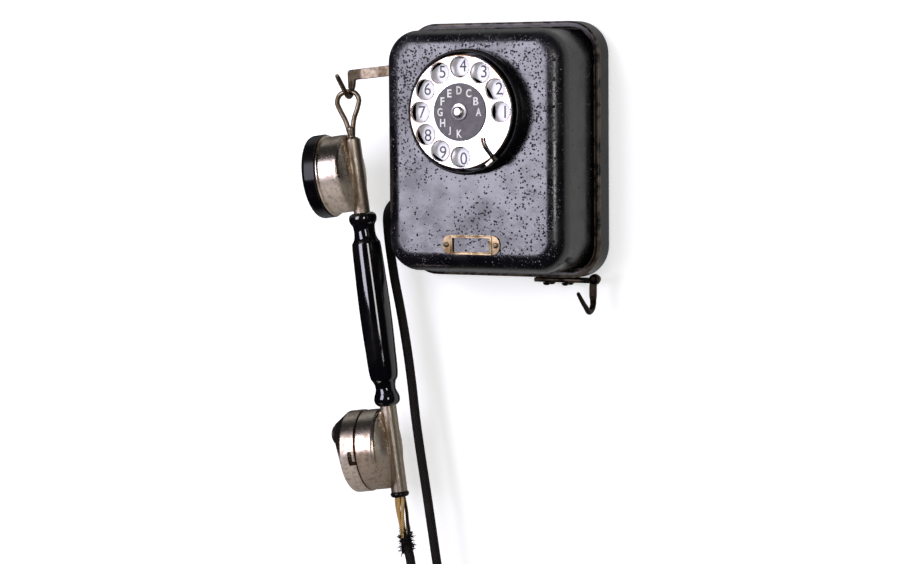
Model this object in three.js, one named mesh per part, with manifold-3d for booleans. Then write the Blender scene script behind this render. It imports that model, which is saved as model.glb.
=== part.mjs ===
// A compact steel wall telephone of about 1910 to 1930, in millimetres, +Z up.
// The origin is the centre of the wall tray's rear face. +X is the viewer's right and +Y runs into the
// wall, so the telephone stands at y < 0 and its dial faces -Y.

import * as THREE from "three";
import { mergeVertices } from "three/addons/utils/BufferGeometryUtils.js";
import Module from "manifold-3d";

const wasm = await Module();
wasm.setup();

// ---------------------------------------------------------------- driving dimensions

const FIT = 0.3; // clearance between a piece and what it sits on, in or around
const BEARING = 0.3; // clearance of a turning pin in its bore

const COVER = {
  width: 137,
  height: 164,
  draft: 0.9, // how far each side leans in from its rear edge to the front
  face: 63, // from the wall to the front face
  corner: 22, // corner radius seen from the front
  edge: 13, // radius of the drawn edge round the front face
  wall: 1.5,
};

const TRAY = {
  margin: 5.3, // how far the tray stands out beyond the cover
  depth: 16.5,
  corner: 22.5,
  wall: 1.5,
  lip: 4.6, // width of the rolled front edge
  lipDepth: 2.3,
  screwHole: 2.5, // radius of the three holes for wall screws
  upperHoleX: 25,
  upperHoleDrop: 5, // from the cover's top
  lowerHoleRise: 6, // from the cover's bottom
};

const LABEL = {
  rise: 19, // from the cover's bottom to the label's middle
  width: 31.3,
  height: 13.2,
  border: 1.9,
  thick: 1.3,
  ear: 6.1, // how far each ear stands out beyond the frame
  earThick: 0.8,
  screwX: 18.7,
  screwHead: 1.9,
  screwHeadThick: 1.1,
};

const DIAL = {
  drop: 55.5, // from the cover's top to the dial's centre
  caseRadius: 42.3,
  rimRadius: 41,
  caseWall: 1.5,
  caseHeight: 11.9,
  floorHole: 12,
  plateInner: 24,
  plateOuter: 36,
  plateFront: 10.5, // from the cover's face to the enamel's face
  plateThick: 1,
  plateLeg: 1.5,
  wheelRadius: 38.2,
  wheelFront: 15.5,
  wheelThick: 1.2,
  wheelLip: 1.7, // how far the wheel's edge turns back
  holeRadius: 7.15,
  holeCircle: 30,
  holes: 10,
  holePitch: 30, // degrees
  discRadius: 19.4,
  discThick: 0.8,
  screwFlange: 5.85,
  screwFlangeThick: 0.8,
  screwHead: 3.6,
  screwHeadHeight: 2.6,
  screwShank: 1.5,
};

const STOP = {
  angle: -51, // degrees, from 3 o'clock
  wire: 0.85,
  elbow: 29.2, // distances from the dial's centre, along the arm
  tip: 24.5,
  tipAside: 2.2,
  footInner: 38.6,
  footOuter: 41.2,
  footAcross: 7.2,
  footFront: 16.9,
};

const GEARS = {
  module: 0.8,
  mainTeeth: 50,
  driveTeeth: 40,
  smallTeeth: 10,
  frameRadius: 36,
  frameThick: 2,
  hubRadius: 5.5,
  hubLength: 2.6,
  shaft: 3,
  arbor: 1.4,
  mainBack: 2.9, // from the frame's rear face to the main gear
  mainThick: 2,
  driveThick: 1.8,
  bridgeBack: 12.4, // from the frame's rear face to the bridge
  bridgeThick: 1.5,
  bridgeRadius: 35.5,
  driveAngle: 150, // degrees round the shaft
  governorAngle: -90, // degrees round the drive arbor
  governorRadius: 7.5,
  governorThick: 2.6,
  postRadius: 2,
  postCircle: 32.6,
  postAngles: [60, -20, -100],
  springDrum: 9,
  springDrumThick: 3,
  contactX: 23,
  contactZ: 6,
  contactWidth: 8,
  contactHeight: 11,
  contactDepth: 8,
};

const BELL = {
  rise: 32, // from the cover's bottom to the gongs' centres
  x: 30, // their distance from the middle
  radius: 25,
  wall: 1.2,
  front: 24.2, // from the wall to a gong's crown
  back: 9, // from the wall to its rim
  postRadius: 3,
  screwHead: 4,
  screwHeadThick: 2.4,
  frameThick: 2.5,
  frameWidth: 68,
  frameUp: 46, // from the gongs' centres to the frame's top edge
  frameDown: 10,
  coilX: 12,
  coilUp: 36, // from the gongs' centres to the coils' middle
  coilRadius: 9,
  coilNeck: 7.4,
  coilFlange: 2,
  coilFront: 29, // from the cover's face back to the coils' front ends
  magnetHalf: 22,
  magnetHeight: 8,
  magnetInset: 1, // from the coils' front ends back to the magnet
  magnetThick: 9,
  armatureHalf: 18,
  armatureHeight: 11,
  armatureThick: 2.2,
  rod: 1,
  ball: 3,
  ballY: -12.5,
};

const CIRCUIT = {
  condenserInset: 12.5, // from the cover's right side
  condenserWidth: 51,
  condenserDrop: 9, // from the cover's top
  condenserHeight: 25,
  condenserDepth: 24,
  coilInset: 20.5, // from the cover's right side to the coil's axis
  coilBelow: 8, // from the condenser down to the coil
  coilAbove: 5, // from the right gong up to the coil
  coilRadius: 10,
  coilFlange: 12,
  coilFlangeThick: 3,
  blockInset: 23.5, // from the cover's left side
  blockWidth: 48,
  blockAbove: 11, // from the bell's coils up to the block
  blockHeight: 14,
  blockDepth: 12,
  studs: 5,
  stud: 2,
  studHeight: 5,
};

const HOOK = {
  behind: 24.5, // from the cover's face back to the lever's middle plane
  thick: 3,
  height: 7.6,
  slope: 5, // degrees that the arm falls towards the hand set
  rise: 8, // degrees that it rises when the hand set leaves
  pivotInset: 30.5, // from the cover's side to the pivot
  pivotDrop: 23.7, // from the cover's top to the pivot
  tail: 12,
  hub: 6,
  reach: 36.7, // from the cover's side to the middle of the hanging limb
  limbWide: 5.8,
  limbDrop: 11, // from the arm's middle line down to where the limb turns round
  wire: 1.65,
  bend: 4.3, // radius of the J's bend, at the wire's middle
  tipRise: 13,
  tipAngle: 45,
  postRadius: 5,
  pin: 1.8,
  pinHead: 4,
  pinHeadThick: 1.8,
  springBlockLeft: 6.5, // from the cover's side to the leaf spring's block
  springBlockWide: 6,
  springBlockTall: 6,
  springLength: 15,
  springThick: 1.2,
  contactGap: 0.8,
  contactWide: 11,
  contactTall: 15,
  contactFront: 5.3, // how far the contact springs stand in front of the lever's middle plane
};

const TUBE = {
  radius: 5.75,
  wall: 0.85,
  beyond: 3.1, // how far the tube runs on below the transmitter can
};

const HANDSET = {
  tilt: 7.6, // degrees that the tube's foot swings towards the case
  yaw: 7.8, // degrees that the receiver turns towards the viewer
  loopWire: 1.7,
  loopWidth: 19.8,
  loopHeight: 35,
  loopOffset: 1, // how far the middle of the loop's bow lies off the tube's axis
  hangOffset: 2.1, // how far the point that rests on the hook lies off the tube's axis
  stemHeight: 7.6,
  collar: 4.6,
  collarThick: 3,
};

const GRIP = {
  gap: 0.25, // from the receiver can's lip down to the grip
  length: 135.9,
  bead: 9.5,
  neck: 7.05,
  shoulder: 9.6,
  barrel: 10.75,
  foot: 9.3,
};

const RECEIVER = {
  down: 22.95, // from the tube's top to the receiver's axis
  back: 3.4, // from the tube's axis to the can's rear edge
  crown: 1, // from the tube's axis to the middle of the can's domed back
  rim: 18.1,
  front: 30.2,
  can: 27,
  lip: 28.4,
  lipThick: 1.3,
  cap: 29.2,
  wall: 1,
  earHole: 5,
  earDish: 1.6,
  capEdge: 2.6,
};

const TRANSMITTER = {
  gap: 1.6, // from the grip down to the can
  back: 3.6,
  crown: 1,
  seam: 17.9,
  front: 30.2,
  can: 28.2,
  cap: 28.8,
  wall: 1,
  collarLength: 6.5,
  bossOffset: 12.7, // the mouthpiece boss lies off the axis, towards the receiver
  bossFront: 42.4,
  bossRadius: 6.9,
  bossCrown: 1.6,
  bossBore: 2.5,
  pin: 1.2,
  pinAngle: 1, // degrees below the side that faces the viewer
  slotSpare: 3.5, // degrees from the pin to the slot's closed end
  slotTurn: 10.5, // degrees from the pin to the slot's mouth
  slotReach: 4.2,
};

const GRIP_TOP = RECEIVER.down + RECEIVER.lip + GRIP.gap;
const TRANSMITTER_DOWN = GRIP_TOP + GRIP.length + TRANSMITTER.gap + TRANSMITTER.can;
const TUBE_LENGTH = TRANSMITTER_DOWN + TRANSMITTER.can + TUBE.beyond;

const CAPSULE = { radius: 24, thick: 10.5 };

const SPARE = {
  stripFar: 50.6, // from the tray's right side to the strip's left end
  stripNear: 12.3, // and to its right end
  lugThick: 2,
  lug: 2.9,
  pivotNear: 3.8, // from the tray's right side to the pin
  pivotDrop: 0.3, // the pin stands this much below the tray's underside
  stripThick: 3,
  stripFront: 14.5,
  stripBack: 1.5,
  eye: 3.7,
  hookAside: 1.5, // how far the shank hangs left of the pin
  pin: 1.3,
  pinHead: 3.5,
  pinHeadThick: 1.6,
  hookThick: 2.8,
  hookWide: 4.8,
  shank: 17,
  bottom: 24,
  forward: 6.6,
  tipForward: 24,
  tipUp: 13.6,
  wireRadius: 2.2,
  tipRadius: 1.3,
  rivetsNear: [42, 27.9], // from the tray's right side
  rivetY: [-3.6, -12],
  rivet: 2.7,
  rivetHeight: 2.1,
};

const GROMMET = {
  y: -25,
  z: -35,
  radius: 6,
  bore: 3.6,
  outside: 4,
  inside: 2,
};

const CORD = { diameter: 6.5, sides: 8, steps: 58 };

const WIRES = { radius: 1, count: 4, circle: 2, length: 27, tie: 3.1, tieLength: 3 };

const BUSHING = { radius: 6.3, length: 3.4, plug: 4.5, plugLength: 6, bore: 3.3 };

// ---------------------------------------------------------------- finishes

function finish(colour, roughness, metalness) {
  return new THREE.MeshStandardMaterial({ color: colour, roughness, metalness });
}

const ENAMEL = () => finish(0x15151a, 0.35, 0.1);
const EBONITE = () => finish(0x0b0b0d, 0.2, 0);
const NICKEL = () => finish(0xc9c0b2, 0.25, 1);
const BRASS = () => finish(0xc9a468, 0.3, 1);
const STEEL = () => finish(0x6c6b6a, 0.45, 1);
const DARK_STEEL = () => finish(0x2a2725, 0.5, 0.8);
const PORCELAIN = () => finish(0xeeeae4, 0.2, 0);
const DISC_GREY = () => finish(0x4f4a4d, 0.5, 0.3);
const FIBRE = () => finish(0x5a3a22, 0.7, 0);
const COPPER_WINDING = () => finish(0x3c5a3a, 0.6, 0.1);
const BRAID = () => finish(0x1a1614, 0.9, 0);
const OCHRE_CLOTH = () => finish(0xb5832f, 0.85, 0);

// ---------------------------------------------------------------- shape helpers

const radians = THREE.MathUtils.degToRad;
const vec2 = (x, y) => new THREE.Vector2(x, y);
const vec3 = (x, y, z) => new THREE.Vector3(x, y, z);

// The volume that a closed indexed surface holds, negative when its faces point in.
function signedVolume(position, index) {
  const corner = [vec3(0, 0, 0), vec3(0, 0, 0), vec3(0, 0, 0)];
  let sum = 0;
  for (let i = 0; i < index.length; i += 3) {
    corner.forEach((v, k) => v.fromArray(position, 3 * index[i + k]));
    sum += corner[0].dot(corner[1].cross(corner[2]));
  }
  return sum / 6;
}

// A closed geometry as a solid that can be joined and cut, with its faces turned outward.
function solid(shape) {
  if (!shape.isBufferGeometry) return shape;
  const bare = new THREE.BufferGeometry();
  bare.setAttribute("position", shape.getAttribute("position"));
  if (shape.index) bare.setIndex(shape.index);
  const merged = mergeVertices(bare, 1e-3);
  const position = merged.attributes.position.array;
  const index = new Uint32Array(merged.index.array);
  if (signedVolume(position, index) < 0) {
    for (let i = 0; i < index.length; i += 3) {
      [index[i + 1], index[i + 2]] = [index[i + 2], index[i + 1]];
    }
  }
  const mesh = new wasm.Mesh({ numProp: 3, vertProperties: position, triVerts: index });
  return new wasm.Manifold(mesh);
}

const joined = (...shapes) => shapes.map(solid).reduce((a, b) => a.add(b));
const cut = (body, ...tools) => tools.map(solid).reduce((a, b) => a.subtract(b), solid(body));

function geometryOf(body) {
  const mesh = body.getMesh();
  const geometry = new THREE.BufferGeometry();
  geometry.setAttribute("position", new THREE.BufferAttribute(mesh.vertProperties, 3));
  geometry.setIndex(new THREE.BufferAttribute(mesh.triVerts, 1));
  geometry.computeVertexNormals();
  return geometry;
}

function addPiece(group, name, shape, material) {
  const mesh = new THREE.Mesh(geometryOf(solid(shape)), material);
  mesh.name = name;
  group.add(mesh);
}

// An outline in X and Z, given thickness from y = back forward to y = front.
function slab(outline, back, front) {
  const shape = new THREE.Shape(outline);
  const geometry = new THREE.ExtrudeGeometry(shape, {
    depth: back - front,
    bevelEnabled: false,
  });
  return geometry.rotateX(Math.PI / 2).translate(0, back, 0);
}

function block(x0, x1, y0, y1, z0, z1) {
  const box = new THREE.BoxGeometry(Math.abs(x1 - x0), Math.abs(y1 - y0), Math.abs(z1 - z0));
  return box.translate((x0 + x1) / 2, (y0 + y1) / 2, (z0 + z1) / 2);
}

// A round bar along Y, from y0 to y1.
function rod(x, z, radius, y0, y1, sides = 16) {
  const bar = new THREE.CylinderGeometry(radius, radius, Math.abs(y1 - y0), sides);
  return bar.translate(x, (y0 + y1) / 2, z);
}

// A profile of [radius, height] points turned about the Y axis.
function turned(profile, sides = 32) {
  return new THREE.LatheGeometry(
    profile.map(([radius, height]) => vec2(radius, height)),
    sides,
  );
}

// A closed surface through rings of equally many points, with a flat fan over each end.
function loft(rings) {
  const count = rings[0].length;
  const points = rings.flat();
  const index = [];
  for (let row = 0; row + 1 < rings.length; row += 1) {
    for (let i = 0; i < count; i += 1) {
      const a = row * count + i;
      const b = row * count + ((i + 1) % count);
      index.push(a, b, b + count, a, b + count, a + count);
    }
  }
  [rings[0], rings[rings.length - 1]].forEach((ring, end) => {
    const middle = points.length;
    const first = end ? (rings.length - 1) * count : 0;
    points.push(ring.reduce((sum, p) => sum.add(p), vec3(0, 0, 0)).divideScalar(count));
    for (let i = 0; i < count; i += 1) {
      const a = first + i;
      const b = first + ((i + 1) % count);
      index.push(...(end ? [middle, a, b] : [middle, b, a]));
    }
  });
  const geometry = new THREE.BufferGeometry().setFromPoints(points);
  return geometry.setIndex(index);
}

const CORNER_STEPS = 6;

// The points of a rectangle with round corners, in X and Z, at depth y.
function roundedRing(halfWidth, halfHeight, corner, y) {
  const radius = Math.max(corner, 0.2);
  const points = [];
  for (let quarter = 0; quarter < 4; quarter += 1) {
    const sideX = quarter === 0 || quarter === 3 ? 1 : -1;
    const sideZ = quarter < 2 ? 1 : -1;
    for (let step = 0; step <= CORNER_STEPS; step += 1) {
      const angle = ((quarter + step / CORNER_STEPS) * Math.PI) / 2;
      points.push(
        vec3(
          sideX * (halfWidth - radius) + radius * Math.cos(angle),
          y,
          sideZ * (halfHeight - radius) + radius * Math.sin(angle),
        ),
      );
    }
  }
  return points;
}

// A tube of changing radius along a curve, with flat ends.
function taperedTube(curve, radiusAt, steps, sides) {
  const frames = curve.computeFrenetFrames(steps, false);
  const rings = [];
  for (let i = 0; i <= steps; i += 1) {
    const centre = curve.getPointAt(i / steps);
    const radius = radiusAt(i / steps);
    const ring = [];
    for (let k = 0; k < sides; k += 1) {
      const angle = (2 * Math.PI * k) / sides;
      ring.push(
        centre
          .clone()
          .addScaledVector(frames.normals[i], radius * Math.cos(angle))
          .addScaledVector(frames.binormals[i], radius * Math.sin(angle)),
      );
    }
    rings.push(ring);
  }
  return loft(rings);
}

// A round wire or cord of one thickness along a curve.
function wireAlong(curve, radius, sides, steps) {
  const section = new THREE.Shape();
  for (let k = 0; k < sides; k += 1) {
    const angle = (2 * Math.PI * k) / sides;
    const x = radius * Math.cos(angle);
    const y = radius * Math.sin(angle);
    if (k === 0) section.moveTo(x, y);
    else section.lineTo(x, y);
  }
  return new THREE.ExtrudeGeometry(section, { steps, extrudePath: curve, bevelEnabled: false });
}

// The outline of a spur gear, with straight-flanked teeth thinned for backlash.
function gearOutline(teeth, turn) {
  const pitch = (GEARS.module * teeth) / 2;
  const tip = pitch + 0.8 * GEARS.module;
  const root = pitch - 1.15 * GEARS.module;
  const step = (2 * Math.PI) / teeth;
  const points = [];
  for (let i = 0; i < teeth; i += 1) {
    const middle = turn + i * step;
    [
      [root, -0.3],
      [tip, -0.12],
      [tip, 0.12],
      [root, 0.3],
    ].forEach(([radius, share]) => {
      const angle = middle + share * step;
      points.push(vec2(radius * Math.cos(angle), radius * Math.sin(angle)));
    });
  }
  return points;
}

const polar = (radius, degrees) =>
  vec2(radius * Math.cos(radians(degrees)), radius * Math.sin(radians(degrees)));

// ---------------------------------------------------------------- shared places

const FACE = -COVER.face;
const SIDE = COVER.width / 2;
const TOP = COVER.height / 2;
const TRAY_SIDE = SIDE + TRAY.margin;
const TRAY_TOP = TOP + TRAY.margin;
const BASE = -TRAY.wall; // the tray's inner face
const SEAT = BASE - FIT; // where pieces screwed to the tray begin
const LABEL_Z = LABEL.rise - TOP;
const DIAL_Z = TOP - DIAL.drop;
const BELL_Z = BELL.rise - TOP;
const BELL_COIL_Z = BELL_Z + BELL.coilUp;
const BELL_COIL_FRONT = FACE + BELL.coilFront;
const HOOK_Y = FACE + HOOK.behind;
const HOOK_Z = TOP - HOOK.pivotDrop;

// ---------------------------------------------------------------- case

function wallTray() {
  const { lip, lipDepth, corner, depth, wall } = TRAY;
  const ring = (inset, y) => roundedRing(TRAY_SIDE - inset, TRAY_TOP - inset, corner - inset, y);
  const rings = [ring(0.8, 0), ring(0, -0.8), ring(0, lipDepth - depth)];
  const arcSteps = 4;
  for (let step = 1; step < arcSteps; step += 1) {
    const angle = (step / arcSteps) * Math.PI;
    const inset = (lip / 2) * (1 - Math.cos(angle));
    rings.push(ring(inset, lipDepth - depth - lipDepth * Math.sin(angle)));
  }
  rings.push(ring(lip, lipDepth - depth), ring(lip, 1.5 * lipDepth - depth));
  rings.push(ring(wall, 1.5 * lipDepth - depth), ring(wall, BASE));
  const hole = (x, z) => rod(x, z, TRAY.screwHole, 1, BASE - 1, 12);
  return cut(
    loft(rings),
    hole(-TRAY.upperHoleX, TOP - TRAY.upperHoleDrop),
    hole(TRAY.upperHoleX, TOP - TRAY.upperHoleDrop),
    hole(0, TRAY.lowerHoleRise - TOP),
  );
}

// The rings of one skin of the cover, from its rear edge to the rim of its flat face.
function coverSkin(inset) {
  const edge = COVER.edge - inset;
  const steps = 4;
  const ring = (more, y) =>
    roundedRing(SIDE - inset - more, TOP - inset - more, COVER.corner - inset - more, y);
  const rings = [ring(0, SEAT), ring(0, FACE + COVER.edge)];
  for (let step = 1; step <= steps; step += 1) {
    const angle = ((step / steps) * Math.PI) / 2;
    rings.push(ring(edge * (1 - Math.cos(angle)), FACE + COVER.edge - edge * Math.sin(angle)));
  }
  return rings.map((points) => points.map(leanIn));
}

// Moves a point of the cover's side in by the draft, in step with its distance from the rear edge.
function leanIn(point) {
  const share = Math.min(1, (SEAT - point.y) / (SEAT - FACE - COVER.edge));
  point.x *= 1 - (share * COVER.draft) / SIDE;
  return point;
}

function frontCover() {
  const shell = loft([...coverSkin(0).reverse(), ...coverSkin(COVER.wall)]);
  const dialHole = rod(0, DIAL_Z, GEARS.frameRadius + 1.5, FACE - 5, FACE + 5, 32);
  const cordHole = rod(0, 0, GROMMET.radius - 1, -6, 6, 12)
    .rotateZ(Math.PI / 2)
    .translate(-SIDE, GROMMET.y, GROMMET.z);
  const inset = HOOK.pivotInset;
  const slotFoot = hookLine(inset) - HOOK.height / 2 - 1;
  const slotHead = hookLine(inset) + HOOK.height / 2 + inset * Math.tan(radians(HOOK.rise)) + 1;
  const halfSlot = HOOK.thick / 2 + 0.8;
  const slot = block(
    -SIDE - 5,
    -SIDE + 5,
    HOOK_Y - halfSlot,
    HOOK_Y + halfSlot,
    slotFoot,
    slotHead,
  );
  return cut(shell, dialHole, cordHole, slot);
}

// A rectangle with a rounded ear at each end, as one outline.
function labelOutline() {
  const halfWidth = LABEL.width / 2;
  const halfHeight = LABEL.height / 2;
  const points = [];
  const steps = 6;
  [1, -1].forEach((side) => {
    for (let step = 0; step <= steps; step += 1) {
      const angle = -Math.PI / 2 + (step / steps) * Math.PI;
      points.push(
        vec2(
          side * (halfWidth + LABEL.ear * Math.cos(angle)),
          LABEL_Z + side * halfHeight * Math.sin(angle),
        ),
      );
    }
  });
  return points;
}

function labelFrame() {
  const back = FACE - FIT;
  const halfWidth = LABEL.width / 2;
  const halfHeight = LABEL.height / 2;
  const { border, thick } = LABEL;
  const ears = slab(labelOutline(), back, back - LABEL.earThick);
  const frame = block(
    -halfWidth,
    halfWidth,
    back,
    back - thick,
    LABEL_Z - halfHeight,
    LABEL_Z + halfHeight,
  );
  const window = block(
    border - halfWidth,
    halfWidth - border,
    back + 1,
    back - thick - 1,
    LABEL_Z - halfHeight + border,
    LABEL_Z + halfHeight - border,
  );
  return cut(joined(ears, frame), window);
}

function labelScrew(side) {
  const seat = FACE - 2 * FIT - LABEL.earThick;
  const head = rod(
    side * LABEL.screwX,
    LABEL_Z,
    LABEL.screwHead,
    seat,
    seat - LABEL.screwHeadThick,
    12,
  );
  const slotHalf = 0.35;
  const slot = block(
    side * LABEL.screwX - 3,
    side * LABEL.screwX + 3,
    seat - LABEL.screwHeadThick - 1,
    seat - LABEL.screwHeadThick + 0.5,
    LABEL_Z - slotHalf,
    LABEL_Z + slotHalf,
  );
  return cut(head, slot);
}

function cordGrommet() {
  const { radius, bore, outside, inside } = GROMMET;
  const neck = radius - 1 - FIT;
  const wallOut = FIT;
  const wallIn = -COVER.wall - FIT;
  const profile = [
    [bore, -inside - COVER.wall],
    [neck, -inside - COVER.wall],
    [neck, wallIn],
    [neck, wallOut],
    [radius + 1, wallOut],
    [radius + 1, outside - 1],
    [radius - 1, outside],
    [bore, outside],
    [bore, -inside - COVER.wall],
  ];
  return turned(profile, 16)
    .rotateZ(Math.PI / 2)
    .translate(-SIDE, GROMMET.y, GROMMET.z);
}

function makeCase(phone) {
  addPiece(phone, "wall_tray", wallTray(), ENAMEL());
  addPiece(phone, "front_cover", frontCover(), ENAMEL());
  addPiece(phone, "label_frame", labelFrame(), BRASS());
  addPiece(phone, "label_screw_left", labelScrew(-1), BRASS());
  addPiece(phone, "label_screw_right", labelScrew(1), BRASS());
  addPiece(phone, "cord_grommet", cordGrommet(), EBONITE());
}

// ---------------------------------------------------------------- dial
// The dial's group stands at the dial's centre on the cover's face: y < 0 is in front of the face.

function dialCase() {
  const { caseRadius, rimRadius, caseWall, caseHeight, floorHole } = DIAL;
  const floor = -FIT - caseWall;
  return turned([
    [floorHole, -FIT],
    [caseRadius, -FIT],
    [caseRadius, -0.6 * caseHeight],
    [rimRadius + 0.5, 0.8 - caseHeight],
    [rimRadius - 0.5, -caseHeight],
    [rimRadius - caseWall, 0.8 - caseHeight],
    [caseRadius - caseWall, -0.6 * caseHeight],
    [caseRadius - caseWall, floor],
    [floorHole, floor],
    [floorHole, -FIT],
  ], 40);
}

function numberPlate() {
  const { plateInner, plateOuter, plateFront, plateThick, plateLeg } = DIAL;
  const back = plateThick - plateFront;
  const ring = turned([
    [plateInner, back],
    [plateOuter, back],
    [plateOuter, -plateFront],
    [plateInner, -plateFront],
    [plateInner, back],
  ], 40);
  const legCircle = (plateInner + plateOuter) / 2;
  const legs = [0, 120, 240].map((angle) => {
    const place = polar(legCircle, angle);
    return rod(place.x, place.y, plateLeg, -2 * FIT - DIAL.caseWall, back - 0.2, 8);
  });
  return joined(ring, ...legs);
}

function fingerWheel() {
  const { wheelRadius, wheelFront, wheelThick, wheelLip, screwShank } = DIAL;
  const back = wheelThick - wheelFront;
  const bore = screwShank + BEARING;
  const disc = turned([
    [bore, back],
    [wheelRadius - 2.4, back],
    [wheelRadius - wheelThick, back + wheelLip - 0.6],
    [wheelRadius - 0.4, back + wheelLip],
    [wheelRadius, back + wheelLip - 0.8],
    [wheelRadius - 1.7, -wheelFront],
    [bore, -wheelFront],
    [bore, back],
  ], 40);
  const holes = [];
  for (let i = 0; i < DIAL.holes; i += 1) {
    const place = polar(DIAL.holeCircle, i * DIAL.holePitch);
    holes.push(rod(place.x, place.y, DIAL.holeRadius, back + 1, -wheelFront - 1, 18));
  }
  return cut(disc, ...holes);
}

function centreDisc() {
  const back = -DIAL.wheelFront - FIT;
  const bore = DIAL.screwShank + BEARING;
  return turned([
    [bore, back],
    [DIAL.discRadius, back],
    [DIAL.discRadius, back - DIAL.discThick],
    [bore, back - DIAL.discThick],
    [bore, back],
  ]);
}

const WHEEL_BACK = DIAL.wheelThick - DIAL.wheelFront;

function centreScrew() {
  const seat = -DIAL.wheelFront - 2 * FIT - DIAL.discThick;
  const flange = seat - DIAL.screwFlangeThick;
  return turned([
    [0, WHEEL_BACK],
    [DIAL.screwShank, WHEEL_BACK],
    [DIAL.screwShank, seat],
    [DIAL.screwFlange, seat],
    [DIAL.screwFlange, flange],
    [DIAL.screwHead, flange],
    [DIAL.screwHead, flange - DIAL.screwHeadHeight + 0.6],
    [DIAL.screwHead - 0.8, flange - DIAL.screwHeadHeight],
    [0, flange - DIAL.screwHeadHeight],
  ], 20);
}

// A bent wire in front of the wheel, on a flat foot at the dial case's rim.
function fingerStop() {
  const { wire, elbow, tip, tipAside, footInner, footOuter, footAcross, footFront } = STOP;
  const foot = block(
    footInner,
    footOuter,
    -DIAL.caseHeight - FIT,
    -footFront,
    -footAcross,
    1.2 * wire,
  );
  const middle = -footFront - 0.7 * wire;
  const arm = new THREE.CatmullRomCurve3([
    vec3(footOuter - 0.4, middle, 0),
    vec3(footInner - 2, middle, 0),
    vec3(elbow + 2, middle, 0),
    vec3(elbow, middle, 0),
    vec3(0.5 * (elbow + tip), middle, 0.4 * tipAside),
    vec3(tip, middle, tipAside),
  ]);
  return joined(foot, wireAlong(arm, wire, 8, 14)).rotate([0, -STOP.angle, 0]);
}

// Behind the cover's face: the frame plate starts at the face, and y grows into the case.
const FRAME_BACK = GEARS.frameThick;
const MAIN_FRONT = FRAME_BACK + GEARS.mainBack;
const BRIDGE_FRONT = FRAME_BACK + GEARS.bridgeBack;
const DRIVE_FRONT = MAIN_FRONT + GEARS.mainThick + 0.9;

function pitchRadius(teeth) {
  return (GEARS.module * teeth) / 2;
}

const DRIVE_PLACE = polar(
  pitchRadius(GEARS.mainTeeth) + pitchRadius(GEARS.smallTeeth),
  GEARS.driveAngle,
);
const GOVERNOR_PLACE = polar(
  pitchRadius(GEARS.driveTeeth) + pitchRadius(GEARS.smallTeeth),
  GEARS.governorAngle,
).add(DRIVE_PLACE);

function dialFrame() {
  const bore = GEARS.shaft + BEARING;
  const plate = turned([
    [bore, 0],
    [GEARS.frameRadius, 0],
    [GEARS.frameRadius, FRAME_BACK],
    [GEARS.hubRadius, FRAME_BACK],
    [GEARS.hubRadius, FRAME_BACK + GEARS.hubLength],
    [bore, FRAME_BACK + GEARS.hubLength],
    [bore, 0],
  ]);
  const posts = GEARS.postAngles.map((angle) => {
    const place = polar(GEARS.postCircle, angle);
    return rod(place.x, place.y, GEARS.postRadius, FRAME_BACK - 0.5, BRIDGE_FRONT - FIT, 10);
  });
  return joined(plate, ...posts);
}

function dialBridge() {
  const bore = GEARS.shaft + BEARING;
  const { bridgeRadius, bridgeThick } = GEARS;
  return turned([
    [bore, BRIDGE_FRONT],
    [bridgeRadius, BRIDGE_FRONT],
    [bridgeRadius, BRIDGE_FRONT + bridgeThick],
    [bore, BRIDGE_FRONT + bridgeThick],
    [bore, BRIDGE_FRONT],
  ]);
}

function dialShaft() {
  const back = BRIDGE_FRONT + GEARS.bridgeThick;
  return rod(0, 0, GEARS.shaft, WHEEL_BACK + FIT, back, 16);
}

function mainGear() {
  const gear = slab(gearOutline(GEARS.mainTeeth, 0), MAIN_FRONT + GEARS.mainThick, MAIN_FRONT);
  return cut(gear, rod(0, 0, GEARS.shaft + FIT, MAIN_FRONT - 1, MAIN_FRONT + 5, 16));
}

// The tooth of one gear of a pair points at the other, so the other has a space there.
function driveArbor() {
  const small = slab(
    gearOutline(
      GEARS.smallTeeth,
      radians(GEARS.driveAngle + 180) + Math.PI / GEARS.smallTeeth + meshTurn(),
    ),
    DRIVE_FRONT + 0.5,
    MAIN_FRONT - 0.4,
  );
  const large = slab(
    gearOutline(GEARS.driveTeeth, radians(GEARS.governorAngle)),
    DRIVE_FRONT + GEARS.driveThick,
    DRIVE_FRONT,
  );
  const arbor = rod(0, 0, GEARS.arbor, FRAME_BACK + FIT, BRIDGE_FRONT - FIT, 10);
  return joined(small, large, arbor);
}

// How far the small gear turns so that its spaces meet the main gear's teeth where the two mesh.
function meshTurn() {
  const step = 360 / GEARS.mainTeeth;
  const toothAngle = Math.round(GEARS.driveAngle / step) * step;
  const lag = radians(toothAngle - GEARS.driveAngle);
  return (-lag * GEARS.mainTeeth) / GEARS.smallTeeth;
}

function governor() {
  const pinion = slab(
    gearOutline(
      GEARS.smallTeeth,
      radians(GEARS.governorAngle + 180) + Math.PI / GEARS.smallTeeth,
    ),
    DRIVE_FRONT + GEARS.driveThick + 0.7,
    DRIVE_FRONT - 0.4,
  );
  const drumFront = DRIVE_FRONT + GEARS.driveThick + 0.5;
  const drum = turned([
    [0, drumFront],
    [GEARS.governorRadius, drumFront],
    [GEARS.governorRadius, drumFront + GEARS.governorThick],
    [0, drumFront + GEARS.governorThick],
  ], 16);
  const arbor = rod(0, 0, GEARS.arbor, FRAME_BACK + FIT, BRIDGE_FRONT - FIT, 10);
  return joined(pinion, drum, arbor);
}

function springDrum() {
  const bore = GEARS.shaft + FIT;
  const back = BRIDGE_FRONT - FIT;
  const front = back - GEARS.springDrumThick;
  return turned([
    [bore, front],
    [GEARS.springDrum, front],
    [GEARS.springDrum, back],
    [bore, back],
    [bore, front],
  ], 20);
}

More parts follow.
